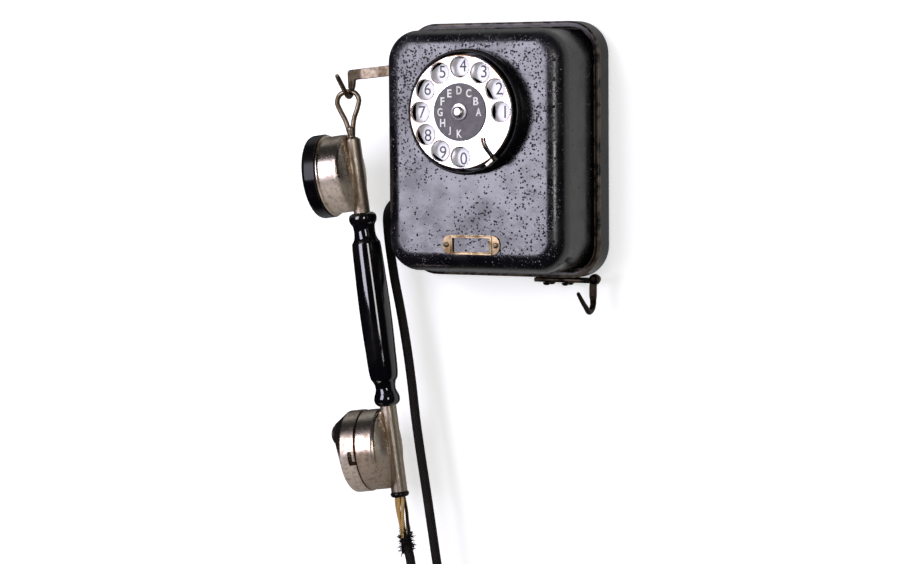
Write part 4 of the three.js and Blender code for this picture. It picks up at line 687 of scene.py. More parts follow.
def paint(name, fresh, faded, roughness):
    material, tree, to = finish(name)
    age = use(tree, clouding, Scale=380.0, Low=0.4, High=0.75)
    feed(tree, to["Base Color"], mixed(tree, age, fresh, faded))
    feed(tree, to["Roughness"], mixed(tree, age, roughness, roughness + 0.15))
    return material


figure_paint = paint("figure_paint", (0.035, 0.035, 0.05), (0.09, 0.09, 0.115), 0.45)
letter_paint = paint("letter_paint", (0.86, 0.84, 0.83), (0.62, 0.59, 0.58), 0.5)
fibre_board = paint("fibre_board", (0.105, 0.045, 0.022), (0.16, 0.08, 0.04), 0.6)

# %% Silk-covered winding, braid and cloth-covered wire
winding, tree, to = finish("winding")
turns = add(tree, "ShaderNodeTexWave", bands_direction="Y")
feed(tree, turns.inputs["Vector"], spots(tree))
turns.inputs["Scale"].default_value = 520.0
wave = turns.outputs["Fac"]
feed(tree, to["Base Color"], mixed(tree, wave, (0.015, 0.035, 0.018), (0.05, 0.10, 0.05)))
feed(tree, to["Roughness"], mixed(tree, wave, 0.7, 0.5))
bumped(tree, to, wave, 0.0002)


def textile(name, dark, light, faded, count, pitch, depth):
    """A braided cover: light on the strands and dark in the gaps, where the dark is painted shade
    between the strands, and faded in patches. count is how many strands go round, pitch how many
    waves go into a millimetre, and depth the strands' height."""
    material, tree, to = finish(name, Specular_IOR_Level=0.25)
    weave = add(tree, "ShaderNodeGroup", node_tree=braided)
    weave.inputs["Count"].default_value = count
    weave.inputs["Pitch"].default_value = pitch
    # The dark colour in the gaps is painted shade between the strands.
    colour = mixed(tree, weave.outputs["Gap"], light, dark)
    patches = use(tree, clouding, Scale=90.0, Low=0.5, High=0.8)
    colour = mixed(tree, times(tree, patches, 0.6), colour, faded)
    feed(tree, to["Base Color"], colour)
    feed(tree, to["Roughness"], mixed(tree, weave.outputs["Gap"], 0.72, 0.95))
    fuzz = times(tree, noise(tree, 2500.0, 2.0), 0.5)
    bumped(tree, to, plus(tree, weave.outputs["Height"], fuzz), depth)
    return material


cord_braid = textile(
    "cord_braid", (0.003, 0.002, 0.002), (0.013, 0.010, 0.009), (0.028, 0.022, 0.018),
    10.0, 0.3, 0.00012,
)
wire_cloth = textile(
    "wire_cloth", (0.22, 0.12, 0.035), (0.56, 0.36, 0.13), (0.72, 0.53, 0.27), 3.0, 0.7, 0.00008
)
print(len(bpy.data.materials), "materials")

# %% [markdown]
# ## The cord
# One braided cord leaves the case on the left, hangs in a narrow loop and comes up to the foot of
# the hand set. It is a tube of fixed length on a smooth curve. The picture ends above the bottom of
# the loop, so that part is assumed.

# %% Cord
CORD_DIAMETER = 6.5
CORD_POINTS = [
    (-72.8, -25, -35), (-77.5, -25, -35.9), (-81.6, -25, -38.7), (-84.4, -25, -42.8),
    (-85.4, -25, -47.9), (-85.1, -25, -55), (-84, -25, -66), (-82.2, -25, -78),
    (-79.8, -25, -92), (-76, -25, -110), (-70.6, -26, -136), (-66.6, -26.4, -162),
    (-63.2, -27, -188), (-59, -27.6, -214), (-54.4, -28.2, -240), (-50, -28.8, -266),
    (-45.6, -29.4, -292), (-39.8, -30, -322), (-33.2, -30.8, -352), (-26.9, -31.6, -380),
    (-23.3, -32.4, -399), (-23.1, -33, -410), (-27.3, -33.8, -420), (-36.3, -34.8, -425),
    (-46.26, -35.81, -423.18), (-54.96, -36.71, -416.98), (-58.86, -37.31, -405.38),
    (-59.56, -37.61, -385.38), (-59.36, -37.81, -355.98), (-59.56, -37.81, -325.98),
    (-61.16, -37.71, -301.98), (-62.76, -37.71, -285.98), (-65.71, -37.39, -275.82),
    (-66.56, -37.51, -269.38),
]
CORD_Y, CORD_Z = CORD_POINTS[0][1:]

cord_path = smooth_path(CORD_POINTS, 2.0)
cord_length = path_length(cord_path)
cord_rings = swept(cord_path, CORD_DIAMETER / 2, (0, 1, 0), 24)
cord_uv = capped_uv(cord_rings, cord_length)
cord = make_piece("handset_cord_braid", cord_rings, edge_capped(cord_rings), uv=cord_uv)
cord.data.materials.append(cord_braid)
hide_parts("handset_cord")
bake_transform(cord)
print("cord is", round(cord_length), "mm long")

# %% [markdown]
# ## Flat and drawn shapes
# The case is pressed from sheet: seen from the front it is a rectangle with round corners, and its
# section is a short profile. So the profile is carried round that rectangle: at each step it says
# how far inside the outline and how far forward the sheet lies. Flat pieces are outlines given a
# thickness, with a small slope along both edges to catch the light.

# %% Rectangle and plate helpers
CORNER_STEPS = 14
EDGE_STEPS = 8


def rounded_rectangle(half_x, half_z, corner):
    """Points round a rectangle: each corner is a quarter circle of radius corner, and each straight
    is cut into equal steps. Every such ring has the same number of points, so rings can be joined."""
    turn = np.linspace(0, math.pi / 2, CORNER_STEPS + 1)
    ring = []
    for quarter in range(4):
        x_sign, z_sign = ((1, 1), (-1, 1), (-1, -1), (1, -1))[quarter]
        angle = turn + quarter * math.pi / 2
        ring.append(np.column_stack([
            x_sign * (half_x - corner) + corner * np.cos(angle),
            z_sign * (half_z - corner) + corner * np.sin(angle),
        ]))
    steps = np.linspace(0, 1, EDGE_STEPS + 1)[1:-1, None]
    parts = []
    for here, ahead in zip(ring, ring[1:] + ring[:1]):
        parts += [here, here[-1] + steps * (ahead[0] - here[-1])]
    return np.vstack(parts)


def pressed(profile, half_x, half_z, corner, least=0.6):
    """Rings of a profile of (inset, y) carried round a rectangle: the half sizes and the corner
    radius all shrink by the inset."""
    rings = [
        np.insert(
            rounded_rectangle(half_x - inset, half_z - inset, max(corner - inset, least)), 1, y, 1
        )
        for inset, y in profile
    ]
    return np.array(rings)


def plate_grid(outline, back, front, slope=0.3):
    """A flat piece: the outline at four depths, pulled inward by slope at the first and last.
    Inward is square to the line between a point's two neighbours. Returns points, faces, wear."""
    outline = np.asarray(outline, dtype=float)
    along = np.roll(outline, -1, 0) - np.roll(outline, 1, 0)
    along /= np.linalg.norm(along, axis=1)[:, None]
    inward = np.column_stack([-along[:, 1], along[:, 0]])
    x, z = outline.T
    inward *= np.sign(np.sum(x * np.roll(z, -1) - z * np.roll(x, -1)))
    step = np.sign(front - back) * slope
    levels = ((slope, back), (0, back + step), (0, front - step), (slope, front))
    rings = np.array([np.insert(outline + inset * inward, 1, y, 1) for inset, y in levels])
    return rings, edge_capped(rings), (0.0, 1.0, 1.0, 0.3)


def baked(piece):
    """Makes the piece's modifiers part of its mesh."""
    seen = piece.evaluated_get(bpy.context.evaluated_depsgraph_get())
    mesh = bpy.data.meshes.new_from_object(seen)
    piece.modifiers.clear()
    piece.data = mesh
    return piece


def carved(piece, *cutters, sharp=SHARP):
    """Takes each cutter's solid out of the piece, then removes the cutters."""
    for cutter in cutters:
        cut = piece.modifiers.new("cut", "BOOLEAN")
        cut.operation, cut.solver, cut.object = "DIFFERENCE", "EXACT", cutter
    bpy.context.view_layer.update()
    baked(piece)
    crisp(piece.data, sharp)
    for cutter in cutters:
        bpy.data.objects.remove(cutter)
    return piece


def joined(piece, *others):
    """Makes several objects one."""
    with bpy.context.temp_override(
        active_object=piece, object=piece, selected_editable_objects=[piece, *others],
        selected_objects=[piece, *others],
    ):
        bpy.ops.object.join()
    return piece


def bar(radius, start, end, segments=48):
    """A plain round bar between two points, for cutting holes."""
    start, end = np.asarray(start, float), np.asarray(end, float)
    across = (0, 0, 1) if abs(end[2] - start[2]) < 1 else (0, 1, 0)
    rings = swept(np.linspace(start, end, 3), radius, across, segments)
    return make_piece("cutter", rings, edge_capped(rings))


def block(low, high):
    """A box between two corners, for cutting slots."""
    low, high = np.asarray(low, float), np.asarray(high, float)
    ring = np.array([[low[0], low[2]], [high[0], low[2]], [high[0], high[2]], [low[0], high[2]]])
    rings = np.array([np.insert(ring, 1, y, 1) for y in (low[1], high[1])])
    return make_piece("cutter", rings, edge_capped(rings))


print("plate helpers ready")

# %% [markdown]
# ## The wall tray
# The back of the telephone is a shallow steel tray. Its front edge is rolled inward to a thick lip,
# which is the outer of the two dark rims seen round the case. Three holes take the wall screws.

# %% Wall tray
TRAY_X, TRAY_Z, TRAY_CORNER = 73.8, 87.3, 22.5
TRAY_FRONT, LIP_WIDTH, LIP_DEPTH, SHEET = -16.5, 4.6, 2.3, 1.5
section = [
    (8, 0), (0.8, 0), (0, -0.8), (0, TRAY_FRONT), (LIP_WIDTH, TRAY_FRONT),
    (LIP_WIDTH, TRAY_FRONT + LIP_DEPTH), (SHEET, TRAY_FRONT + LIP_DEPTH), (SHEET, -SHEET), (8, -SHEET),
]
section, marks = softened(section, [0, 0.6, 0.6, 1.8, 1.1, 0.8, 0.4, 1.0, 0], steps=5)
rings = pressed(section, TRAY_X, TRAY_Z, TRAY_CORNER)
tray = make_piece("wall_tray_shell", rings, edge_capped(rings), marks)
carved(tray, *[bar(2.5, (x, 3, z), (x, -4, z)) for x, z in ((-25, 77), (25, 77), (0, -76))])
fit(tray, tray_enamel, "case", "cover_enamel", "wall_tray")

# %% [markdown]
# ## The front cover
# One deep pressing: a flat face that rolls over a 13 mm edge into nearly straight sides. The sheet
# is followed from the rear edge inside, over the face to the dial's hole, and back outside, so it
# has real thickness. The hole's ring of points is matched to the outline by direction, which keeps
# the flat face free of folds.

# %% Front cover
COVER_X, COVER_Z, COVER_CORNER, FACE = 68.5, 82.0, 22.0, -63.0
EDGE_RADIUS, REAR_EDGE, LEAN = 13.0, -1.8, 0.9
DIAL_Z, DIAL_HOLE = 26.5, 37.5


def cover_section(wall):
    """(inset, y) from the rear edge to the flat face: straight, then a quarter circle."""
    turn = np.linspace(0, math.pi / 2, 15)
    radius = EDGE_RADIUS - wall
    start = FACE + EDGE_RADIUS
    straight = [(wall, y) for y in np.linspace(REAR_EDGE, start, 9)[:-1]]
    curve = [(wall + radius * (1 - math.cos(a)), start - radius * math.sin(a)) for a in turn]
    return straight + curve + [(EDGE_RADIUS + 0.7, FACE + wall)]


def dial_opening(y, radius):
    """Points of the dial's hole, each in the same direction as the outline's point."""
    outline = rounded_rectangle(COVER_X - EDGE_RADIUS, COVER_Z - EDGE_RADIUS, 9.0)
    angle = np.arctan2(outline[:, 1] - DIAL_Z, outline[:, 0])
    x, z = radius * np.cos(angle), DIAL_Z + radius * np.sin(angle)
    return np.column_stack([x, np.full_like(x, y), z])[None]


outside = pressed(cover_section(0), COVER_X, COVER_Z, COVER_CORNER)
inside = pressed(cover_section(SHEET), COVER_X, COVER_Z, COVER_CORNER)
rings = np.concatenate([
    inside,
    dial_opening(FACE + SHEET, DIAL_HOLE), dial_opening(FACE + 0.3, DIAL_HOLE),
    dial_opening(FACE, DIAL_HOLE + 0.3), dial_opening(FACE, DIAL_HOLE + 2),
    outside[::-1], inside[:1],
])
lean = np.clip((REAR_EDGE - rings[..., 1]) / (REAR_EDGE - FACE - EDGE_RADIUS), 0, 1)
rings[..., 0] *= 1 - lean * LEAN / COVER_X
marks = np.zeros(len(rings))
marks[-2:] = 1.0
cover = make_piece("front_cover_shell", rings, grid_faces(rings), marks, sharp=50)
hook_slot = block((-75, -40.8, 50.83), (-60, -36.2, 64.72))
cord_hole = bar(5.0, (-75, CORD_Y, CORD_Z), (-60, CORD_Y, CORD_Z))
carved(cover, hook_slot, cord_hole, sharp=50)
fit(cover, cover_enamel, "case", "cover_enamel", "front_cover")

# %% [markdown]
# ## The label holder
# A small pressed brass frame under the dial, for a paper strip with the number. Its ears are
# half-oval and each holds one slotted screw. The frame's section is a shallow channel: two raised
# lines with a sunk band between them.

# %% Label holder
LABEL_Z, LABEL_X, LABEL_HALF, EAR = -63.0, 15.65, 6.6, 6.1
turn = np.linspace(-math.pi / 2, math.pi / 2, 15)
right_end = np.column_stack([LABEL_X + EAR * np.cos(turn) ** 0.8, LABEL_Z + LABEL_HALF * np.sin(turn)])
outline = np.vstack([right_end, right_end[::-1] * (-1, 1)])
ears, ear_faces, ear_marks = plate_grid(outline, FACE - 0.3, FACE - 1.1, 0.25)
section = [
    (0, FACE - 0.3), (0, FACE - 1.6), (0.55, FACE - 1.6), (0.75, FACE - 1.25), (1.3, FACE - 1.25),
    (1.5, FACE - 1.5), (1.9, FACE - 1.5), (1.9, FACE - 0.3),
]
section, marks = softened(section, 0.14, closed=True, steps=3, fade=0.15)
frame_rings = pressed(section, LABEL_X, LABEL_HALF, 0.9, 0.3) + (0, 0, LABEL_Z)
label = make_piece("label_holder", ears, ear_faces, ear_marks)
carved(label, block((-13.8, -70, LABEL_Z - 4.75), (13.8, -60, LABEL_Z + 4.75)))
joined(label, make_piece("channel", frame_rings, grid_faces(frame_rings), marks))
fit(label, label_brass, "case", "brass", "label_frame")

# %% Label screws


def label_screw(name, x, slot_turn):
    """A round-headed screw on the -Y side of its seat, with a slot turned by slot_turn degrees."""
    seat = FACE - 1.4
    screw = turned_piece(
        name, [(0, seat), (1.9, seat), (1.9, seat - 0.45), (1.2, seat - 0.95), (0, seat - 1.1)],
        [0, 0.1, 0.4, 0.5, 0], lambda points: points + (x, 0, LABEL_Z), segments=40, steps=4,
    )
    a = math.radians(slot_turn)
    along, aside = np.array([math.cos(a), math.sin(a)]), np.array([-math.sin(a), math.cos(a)])
    signs = ((-1, -1), (1, -1), (1, 1), (-1, 1))
    ring = np.array([sx * 3 * along + sz * 0.28 * aside for sx, sz in signs]) + (x, LABEL_Z)
    rings = np.array([np.insert(ring, 1, y, 1) for y in (seat - 0.55, seat - 3)])
    return carved(screw, make_piece("cutter", rings, edge_capped(rings)))


for node_name, x, slot_turn in (("label_screw_left", -18.7, 62), ("label_screw_right", 18.7, 18)):
    head = label_screw(node_name + "_head", x, slot_turn)
    fit(head, dark_screw, "case", "brass", node_name)

# %% [markdown]
# ## The dial
# The dial stands on the face in a black cup. Inside the cup's rim lies a white enamelled ring with
# the figures, and over it turns the nickel finger wheel with ten holes. All of it is turned work,
# so every piece is a profile carried round the dial's axis; the holes are cut out afterwards.

# %% Dial case and number ring


def on_dial(points):
    """Moves points made round the Y axis to the dial, with y = 0 at the cover's face."""
    return points + (0, FACE, DIAL_Z)


case_section = [
    (12, -0.3), (42.3, -0.3), (42.3, -7.1), (41.5, -11.1), (40.5, -11.9), (39.5, -11.1),
    (40.8, -7.1), (40.8, -1.8), (12, -1.8),
]
dial_case = turned_piece(
    "dial_case_cup", case_section, [0.2, 0.7, 1.5, 0.5, 0.5, 0.4, 1.0, 0.4, 0.2], on_dial,
    closed=True, segments=144,
)
fit(dial_case, ebonite, "case", "ebonite", "dial_case")

ring_section = [(24, -9.5), (36, -9.5), (36, -10.5), (24, -10.5)]
number_ring = turned_piece("number_ring", ring_section, 0.3, on_dial, closed=True, segments=144)
fit(number_ring, porcelain, "case", "porcelain", "number_plate")

# %% Finger wheel
HOLE_CIRCLE, HOLE_RADIUS, WHEEL_RADIUS = 30.0, 7.15, 38.2
hole_angles = np.radians(np.arange(10) * 30)
wheel_section = [
    (2.2, -14.3), (37.1, -14.3), (37.1, -12.6), (WHEEL_RADIUS, -12.6), (WHEEL_RADIUS, -15.5),
    (2.2, -15.5),
]
wheel = turned_piece(
    "finger_wheel_disc", wheel_section, [0.1, 0.2, 0.2, 0.3, 0.8, 0.1], on_dial,
    closed=True, segments=180, steps=6, fade=0.4,
)
hole_places = [(HOLE_CIRCLE * math.cos(a), DIAL_Z + HOLE_CIRCLE * math.sin(a)) for a in hole_angles]
carved(wheel, *[bar(HOLE_RADIUS, (x, FACE - 17, z), (x, FACE - 12, z), 64) for x, z in hole_places])

# %% [markdown]
# The edge of each finger hole is rolled a little, which makes a thin bright and brown line round it.
# Each roll is a small ring with a half-round section, in place over the hole's edge.

# %% Rolled edges of the finger holes
roll = np.linspace(0, math.pi, 9)
roll_section = np.vstack([
    np.column_stack([HOLE_RADIUS + 0.1 - 0.42 * np.cos(roll), -15.42 - 0.24 * np.sin(roll)]),
    [(HOLE_RADIUS + 0.52, -15.3), (HOLE_RADIUS - 0.32, -14.2)],
    [(HOLE_RADIUS - 0.32, -15.42)],
])
roll_marks = np.concatenate([0.75 + 0.25 * np.cos(np.linspace(0, math.pi, 9)), [0, 0.4, 1]])
one_roll = turned(roll_section, 64)
rolls = [(one_roll + (x, FACE, z), grid_faces(one_roll)) for x, z in hole_places]
joined(wheel, make_piece("rolls", *gathered(*rolls), np.tile(roll_marks, len(rolls))))
fit(wheel, dial_nickel, "dial_wheel", "nickel", "finger_wheel")

# %% Centre disc and its screw
disc_section = [(1.8, -15.8), (19.4, -15.8), (19.4, -16.6), (1.8, -16.6)]
disc = turned_piece("centre_disc_plate", disc_section, [0.1, 0.2, 0.25, 0.1], on_dial, closed=True)
fit(disc, disc_grey, "dial_wheel", "disc_grey", "centre_disc")

screw_section = [
    (0, -13.4), (1.5, -13.4), (1.5, -16.9), (5.85, -16.9), (5.85, -17.5), (4.6, -17.75), (3.6, -18.0),
    (3.6, -19.5), (2.5, -20.2), (0, -20.3),
]
screw = turned_piece(
    "dial_centre_screw_head", screw_section, [0, 0.1, 0.2, 0.2, 0.3, 0.3, 0.3, 0.5, 0.8, 0], on_dial,
    segments=64,
)
fit(screw, screw_nickel, "dial_wheel", "nickel", "dial_centre_screw")

# %% [markdown]
# ## Figures and letters
# The figures are fired on the white ring and the letters on the grey disc. Blender's text becomes a
# mesh first; then its points are stretched to the measured height and width and laid on the plate.

# %% Figures and letters


def lettering(name, marks, places, size, depth, thicken, material, body, slot):
    """Each mark's points (x, y) are scaled so that a tall mark is size high, centred, and laid at
    its place (x, z) with y = depth for the front: (x, y) becomes (x, depth, z)."""
    grids = []
    for mark, (x, z) in zip(marks, places):
        curve = bpy.data.curves.new("mark", "FONT")
        curve.body, curve.size, curve.offset, curve.extrude = mark, 1.0, thicken, 0.5
        curve.resolution_u = 6
        text = bpy.data.objects.new("mark", curve)
        bpy.context.scene.collection.objects.link(text)
        bpy.context.view_layer.update()
        mesh = bpy.data.meshes.new_from_object(text.evaluated_get(bpy.context.evaluated_depsgraph_get()))
        flat = np.empty(len(mesh.vertices) * 3)
        mesh.vertices.foreach_get("co", flat)
        flat = flat.reshape(-1, 3)
        low, high = flat[:, :2].min(0), flat[:, :2].max(0)
        width = min((high[0] - low[0]) / (high[1] - low[1]), size[0] / size[1]) * size[1]
        scale = np.array([width, size[1]]) / (high - low)
        place = (flat[:, :2] - (low + high) / 2) * scale
        front = np.where(flat[:, 2] > 0, depth, depth + 0.12)
        faces = [list(polygon.vertices) for polygon in mesh.polygons]
        grids.append((np.column_stack([x + place[:, 0], front, z + place[:, 1]]), faces))
        bpy.data.objects.remove(text)
    points, faces = gathered(*grids)
    fit(make_piece(name, points, faces, sharp=30), material, body, slot)


FIGURE_CIRCLE, LETTER_CIRCLE = 31.0, 14.4
around = [(math.cos(a), math.sin(a)) for a in hole_angles]
lettering(
    "number_ring_figures", "1234567890",
    [(FIGURE_CIRCLE * x, DIAL_Z + FIGURE_CIRCLE * z) for x, z in around],
    (5.0, 8.1), FACE - 10.56, -0.002, figure_paint, "case", "porcelain",
)
lettering(
    "centre_disc_letters", "ABCDEFGHJK",
    [(LETTER_CIRCLE * x, DIAL_Z + LETTER_CIRCLE * z) for x, z in around],
    (3.9, 5.4), FACE - 16.68, 0.022, letter_paint, "dial_wheel", "disc_grey",
)

# %% [markdown]
# ## The finger stop
# A clip on the dial's rim carries a bent wire over the wheel. A finger in a hole meets it there.

# %% Finger stop
STOP_ANGLE = math.radians(-51)
STOP_OUT = np.array([math.cos(STOP_ANGLE), math.sin(STOP_ANGLE)])
STOP_ASIDE = np.array([-math.sin(STOP_ANGLE), math.cos(STOP_ANGLE)])


def at_stop(points):
    """(distance from the dial's centre, y from the face, sideways) to the row's own axes."""
    points = np.asarray(points, dtype=float)
    flat = points[..., :1] * STOP_OUT + points[..., 2:] * STOP_ASIDE
    return np.stack([flat[..., 0], FACE + points[..., 1], DIAL_Z + flat[..., 1]], axis=-1)


clip_points, clip_marks = softened(
    [(38.6, -12.2), (41.2, -12.2), (41.2, -16.9), (38.6, -16.9)], 0.5, closed=True, steps=3
)
levels = [(0.86, -7.2), (1.0, -6.9), (1.0, -3.0), (1.0, 0.7), (0.86, 1.02)]
middle = np.array([39.9, -14.55])
clip_rings = np.array([
    np.column_stack([middle + (clip_points - middle) * share, np.full(len(clip_points), t)])
    for share, t in levels
])
arm = smooth_path(
    [(40.8, -16.9, 0), (39.0, -17.3, 0), (36.6, -17.5, 0), (31.2, -17.5, 0), (29.2, -17.5, 0.25),
     (26.85, -17.5, 0.88), (24.5, -17.5, 2.2)], 0.4,
)
arm_rings, arm_faces = wire_grid(arm, 0.85, (0, 1, 0), 20)
arm_marks = np.clip((30.5 - arm_rings[..., 0]) / 2.5, 0, 1)
stop_arm = make_piece("finger_stop_arm", at_stop(arm_rings), arm_faces, arm_marks)
fit(stop_arm, stop_wire, "case", "nickel", "finger_stop")
clip_marks = np.tile(clip_marks, len(levels))
clip = make_piece("finger_stop_clip", at_stop(clip_rings), edge_capped(clip_rings), clip_marks)
fit(clip, clip_nickel, "case", "nickel")

# %% [markdown]
# ## The switch hook
# A flat bar comes out of the case's left side, turns down at its end and becomes a round wire bent
# forward like a letter J, on which the hand set's loop hangs. The bar is an outline with a
# thickness; the wire is a circle carried along the bend.

# %% Switch hook
LEVER_BACK, LEVER_FRONT, LEVER_HALF = -37.0, -40.0, 3.8
PIVOT = np.array([-38.0, 58.3])
LIMB_X, LIMB_HALF, SLOPE = -105.2, 2.9, math.tan(math.radians(5))
WIRE_Y, WIRE_BEND = -38.5, 4.3


def lever_line(x):
    """The height of the bar's middle line at x: it falls by the slope towards the hand set."""
    return PIVOT[1] - (PIVOT[0] - x) * SLOPE


tail, limb_top = -26.0, lever_line(LIMB_X)
outline = [
    (tail, lever_line(tail) - LEVER_HALF), (tail, lever_line(tail) + LEVER_HALF),
    (LIMB_X - LIMB_HALF, limb_top + LEVER_HALF - 0.6),
    (LIMB_X - LIMB_HALF + 0.5, limb_top - 10),
    (LIMB_X + LIMB_HALF - 0.9, limb_top - 10),
    (LIMB_X + LIMB_HALF, lever_line(LIMB_X + LIMB_HALF) - LEVER_HALF),
]
outline, _ = softened(outline, [1.5, 1.5, 2.6, 1.2, 1.2, 0.8], closed=True, steps=6)
bar_grid = plate_grid(outline[:-1], LEVER_BACK, LEVER_FRONT, 0.35)
turn_z = limb_top - 11
angle = np.linspace(0, math.radians(135), 12)
bend = np.column_stack([
    np.full(12, LIMB_X), WIRE_Y - WIRE_BEND * (1 - np.cos(angle)), turn_z - WIRE_BEND * np.sin(angle),
])
tip = bend[-1] + np.array([[0, -6.5, 6.5], [0, -13, 13]])
hook_wire = smooth_path(np.vstack([
    [(LIMB_X, WIRE_Y, limb_top - 6), (LIMB_X, WIRE_Y, limb_top - 9)], bend, tip,
]), 0.5)
share = np.linspace(0, 1, len(hook_wire))
hook_radius = np.where(share < 0.25, 2.1 - 0.45 * share / 0.25, 1.65) * np.where(share > 0.93, 0.92, 1)
wire, wire_faces = wire_grid(hook_wire, hook_radius, (1, 0, 0), 24)
lever = make_piece("hook_lever_bar", *bar_grid)
carved(lever, bar(2.1, (PIVOT[0], -30, PIVOT[1]), (PIVOT[0], -45, PIVOT[1])))
joined(lever, make_piece("wire", wire, wire_faces, 0.25))
fit(lever, arm_nickel, "hook_lever", "nickel", "hook_lever")

# %% [markdown]
# ## The hand set
# The hand set has its own axes: its origin is the top of the nickel tube, and the tube runs down
# from there with a slight lean and turn. The cups are turned about an axis that leaves the tube
# square to it, so the same turning helper serves; only the placing differs.

# %% Hand set axes
TUBE_TOP = np.array([-103.16097, -42.52069, 7.46798])
HANDSET_AXES = np.array([
    [0.98204, 0.13452, 0.13226], [-0.13103, -0.01795, 0.99122], [0.13572, -0.99075, 0.0],
])


def in_handset(points):
    """(x, y up the tube, z to the viewer) times the three axes, from the tube's top."""
    return TUBE_TOP + np.asarray(points, dtype=float) @ HANDSET_AXES


def facing(down):
    """Placing for a cup that faces away from the tube, its axis down millimetres below the top:
    (x, y, z) becomes (-y, x - down, z)."""
    def place(points):
        x, y, z = np.moveaxis(np.asarray(points, dtype=float), -1, 0)
        return in_handset(np.stack([-y, x - down, z], axis=-1))
    return place


print("tube's top:", np.round(in_handset([0, 0, 0]), 1))

# %% Tube
TUBE_RADIUS, TUBE_LENGTH = 5.75, 248.6
tube = turned_piece(
    "tube_shell", [(4.9, 0), (TUBE_RADIUS, 0), (TUBE_RADIUS, -TUBE_LENGTH), (4.9, -TUBE_LENGTH)],
    0.3, in_handset, closed=True, segments=64,
)
fit(tube, tube_nickel, "handset", "nickel", "handset_tube")

# %% Suspension loop
half, top, vee = 8.2, 33.3, 7.6


def loop_side(s):
    """One side of the loop, s = -1 or 1: from the stem it spreads to half, then closes in."""
    return [
        (s * 1.734, vee - 1.5, 0), (s * 1.734, vee, 0),
        (s * 0.42 * half + 0.2, vee + 0.26 * (top - vee), 0),
        (s * 0.8 * half + 0.6, vee + 0.53 * (top - vee), 0),
        (s * half + 0.8, vee + 0.76 * (top - vee), 0),
        (s * 0.7 * half + 1, vee + 0.94 * (top - vee), 0),
    ]


bow = smooth_path(loop_side(-1) + [(1, top, 0)] + loop_side(1)[::-1], 0.6)
rings = swept(bow, 1.7, (0, 0, 1), 20)
stem, stem_marks = softened(
    [(0, -3), (4.6, -3), (4.6, 0.8), (2.6, 1.6), (2.6, 2.4), (3.3, 7.1), (2.9, 8.8), (0, 9.3)],
    [0, 0.2, 0.5, 0.3, 0.3, 0.6, 0.8, 0], steps=5,
)
stem_rings = turned(stem, 40)
points, faces = gathered((rings, edge_capped(rings)), (stem_rings, grid_faces(stem_rings)))
marks = np.concatenate([np.full(len(rings) * 20, 0.3), np.repeat(stem_marks, 40)])
loop = make_piece("suspension_loop_wire", in_handset(points), faces, marks)
fit(loop, loop_nickel, "handset", "nickel", "suspension_loop")

# %% [markdown]
# The grip is a turned sleeve of black hard rubber: a bead at each end, a narrow neck, a ring and a
# long swelling barrel. Its radii were read off the picture at marked heights.

# %% Grip
GRIP_TOP, GRIP_LENGTH, GRIP_BORE = 51.6, 135.9, 6.05
grip_outline = np.array([
    (0, 6.84), (0.006, 8.4), (0.016, 9.45), (0.032, 9.75), (0.05, 9.1), (0.062, 8.0), (0.08, 7.5),
    (0.105, 7.42), (0.13, 7.95), (0.145, 8.9), (0.155, 9.85), (0.159, 10.0), (0.165, 10.02),
    (0.18, 10.2), (0.3, 10.65), (0.5, 11.1), (0.7, 10.65),
    (0.856, 9.5), (0.88, 7.75), (0.91, 7.05), (0.93, 7.65), (0.948, 8.65), (0.965, 9.1),
    (0.985, 8.56), (1, 6.5),
])
grip_curve = smooth_path(
    np.column_stack([grip_outline[:, 1], -GRIP_TOP - grip_outline[:, 0] * GRIP_LENGTH]), 0.5
)
grip_curve = np.vstack([
    [(GRIP_BORE, grip_curve[0, 1])], grip_curve, [(GRIP_BORE, grip_curve[-1, 1])],
    [(GRIP_BORE, grip_curve[0, 1])],
])
rings = turned(grip_curve, 72)
grip = make_piece("grip_sleeve", in_handset(rings), grid_faces(rings), sharp=50)
fit(grip, polished_ebonite, "handset", "ebonite", "grip")

# %% [markdown]
# ## Receiver and transmitter
# Both are nickel cups on the tube. The receiver ends in a black rubber cap with a dished ear hole.
# The transmitter's cap is nickel, held by a bayonet: a pin on the can and a slot in the cap.

# %% Receiver
RECEIVER_DOWN, TRANSMITTER_DOWN = 22.95, 217.3
receiver_section = [
    (0, 1), (8, 1.2), (16.2, 1.94), (26, 3.1), (27, 4.2), (27, 17.9), (28.4, 18.1), (28.4, 19.4),
    (26, 19.4), (26, 7.35), (0, 7.35),
]
receiver = turned_piece(
    "receiver_cup", receiver_section, [0, 3, 4, 1.0, 1.0, 0.4, 0.45, 0.45, 0.2, 0.5, 0],
    facing(RECEIVER_DOWN), segments=128, steps=5,
)
fit(receiver, receiver_nickel, "handset", "nickel", "receiver_can")

ear_section = [
    (25, 19.7), (29.2, 19.7), (29.2, 27.6), (28.4, 29.4), (26.6, 30.2), (23.4, 30.2), (18, 28.9),
    (11, 28.6), (5, 28.6), (5, 26.6), (25, 22.7),
]
ear_cap = turned_piece(
    "receiver_ear_cap", ear_section, [0.2, 0.5, 1.2, 1.0, 1.0, 1.4, 3, 2, 0.7, 0.5, 0.5],
    facing(RECEIVER_DOWN), closed=True, segments=128, steps=5,
)
fit(ear_cap, ebonite, "handset", "ebonite", "receiver_cap")

# %% Transmitter can and its pin
can_section = [
    (0, 1), (8, 1.3), (16.9, 2.06), (27, 3.6), (28, 5.6), (28.2, 6.2), (28.2, 17.7), (26.5, 17.7),
    (26.5, 7.35), (0, 7.35),
]
can = turned_piece(
    "transmitter_cup", can_section, [0, 3, 4, 1.0, 0.6, 0.3, 0.3, 0.2, 0.5, 0],
    facing(TRANSMITTER_DOWN), segments=128, steps=4,
)
fit(can, transmitter_nickel, "handset", "nickel", "transmitter_can")

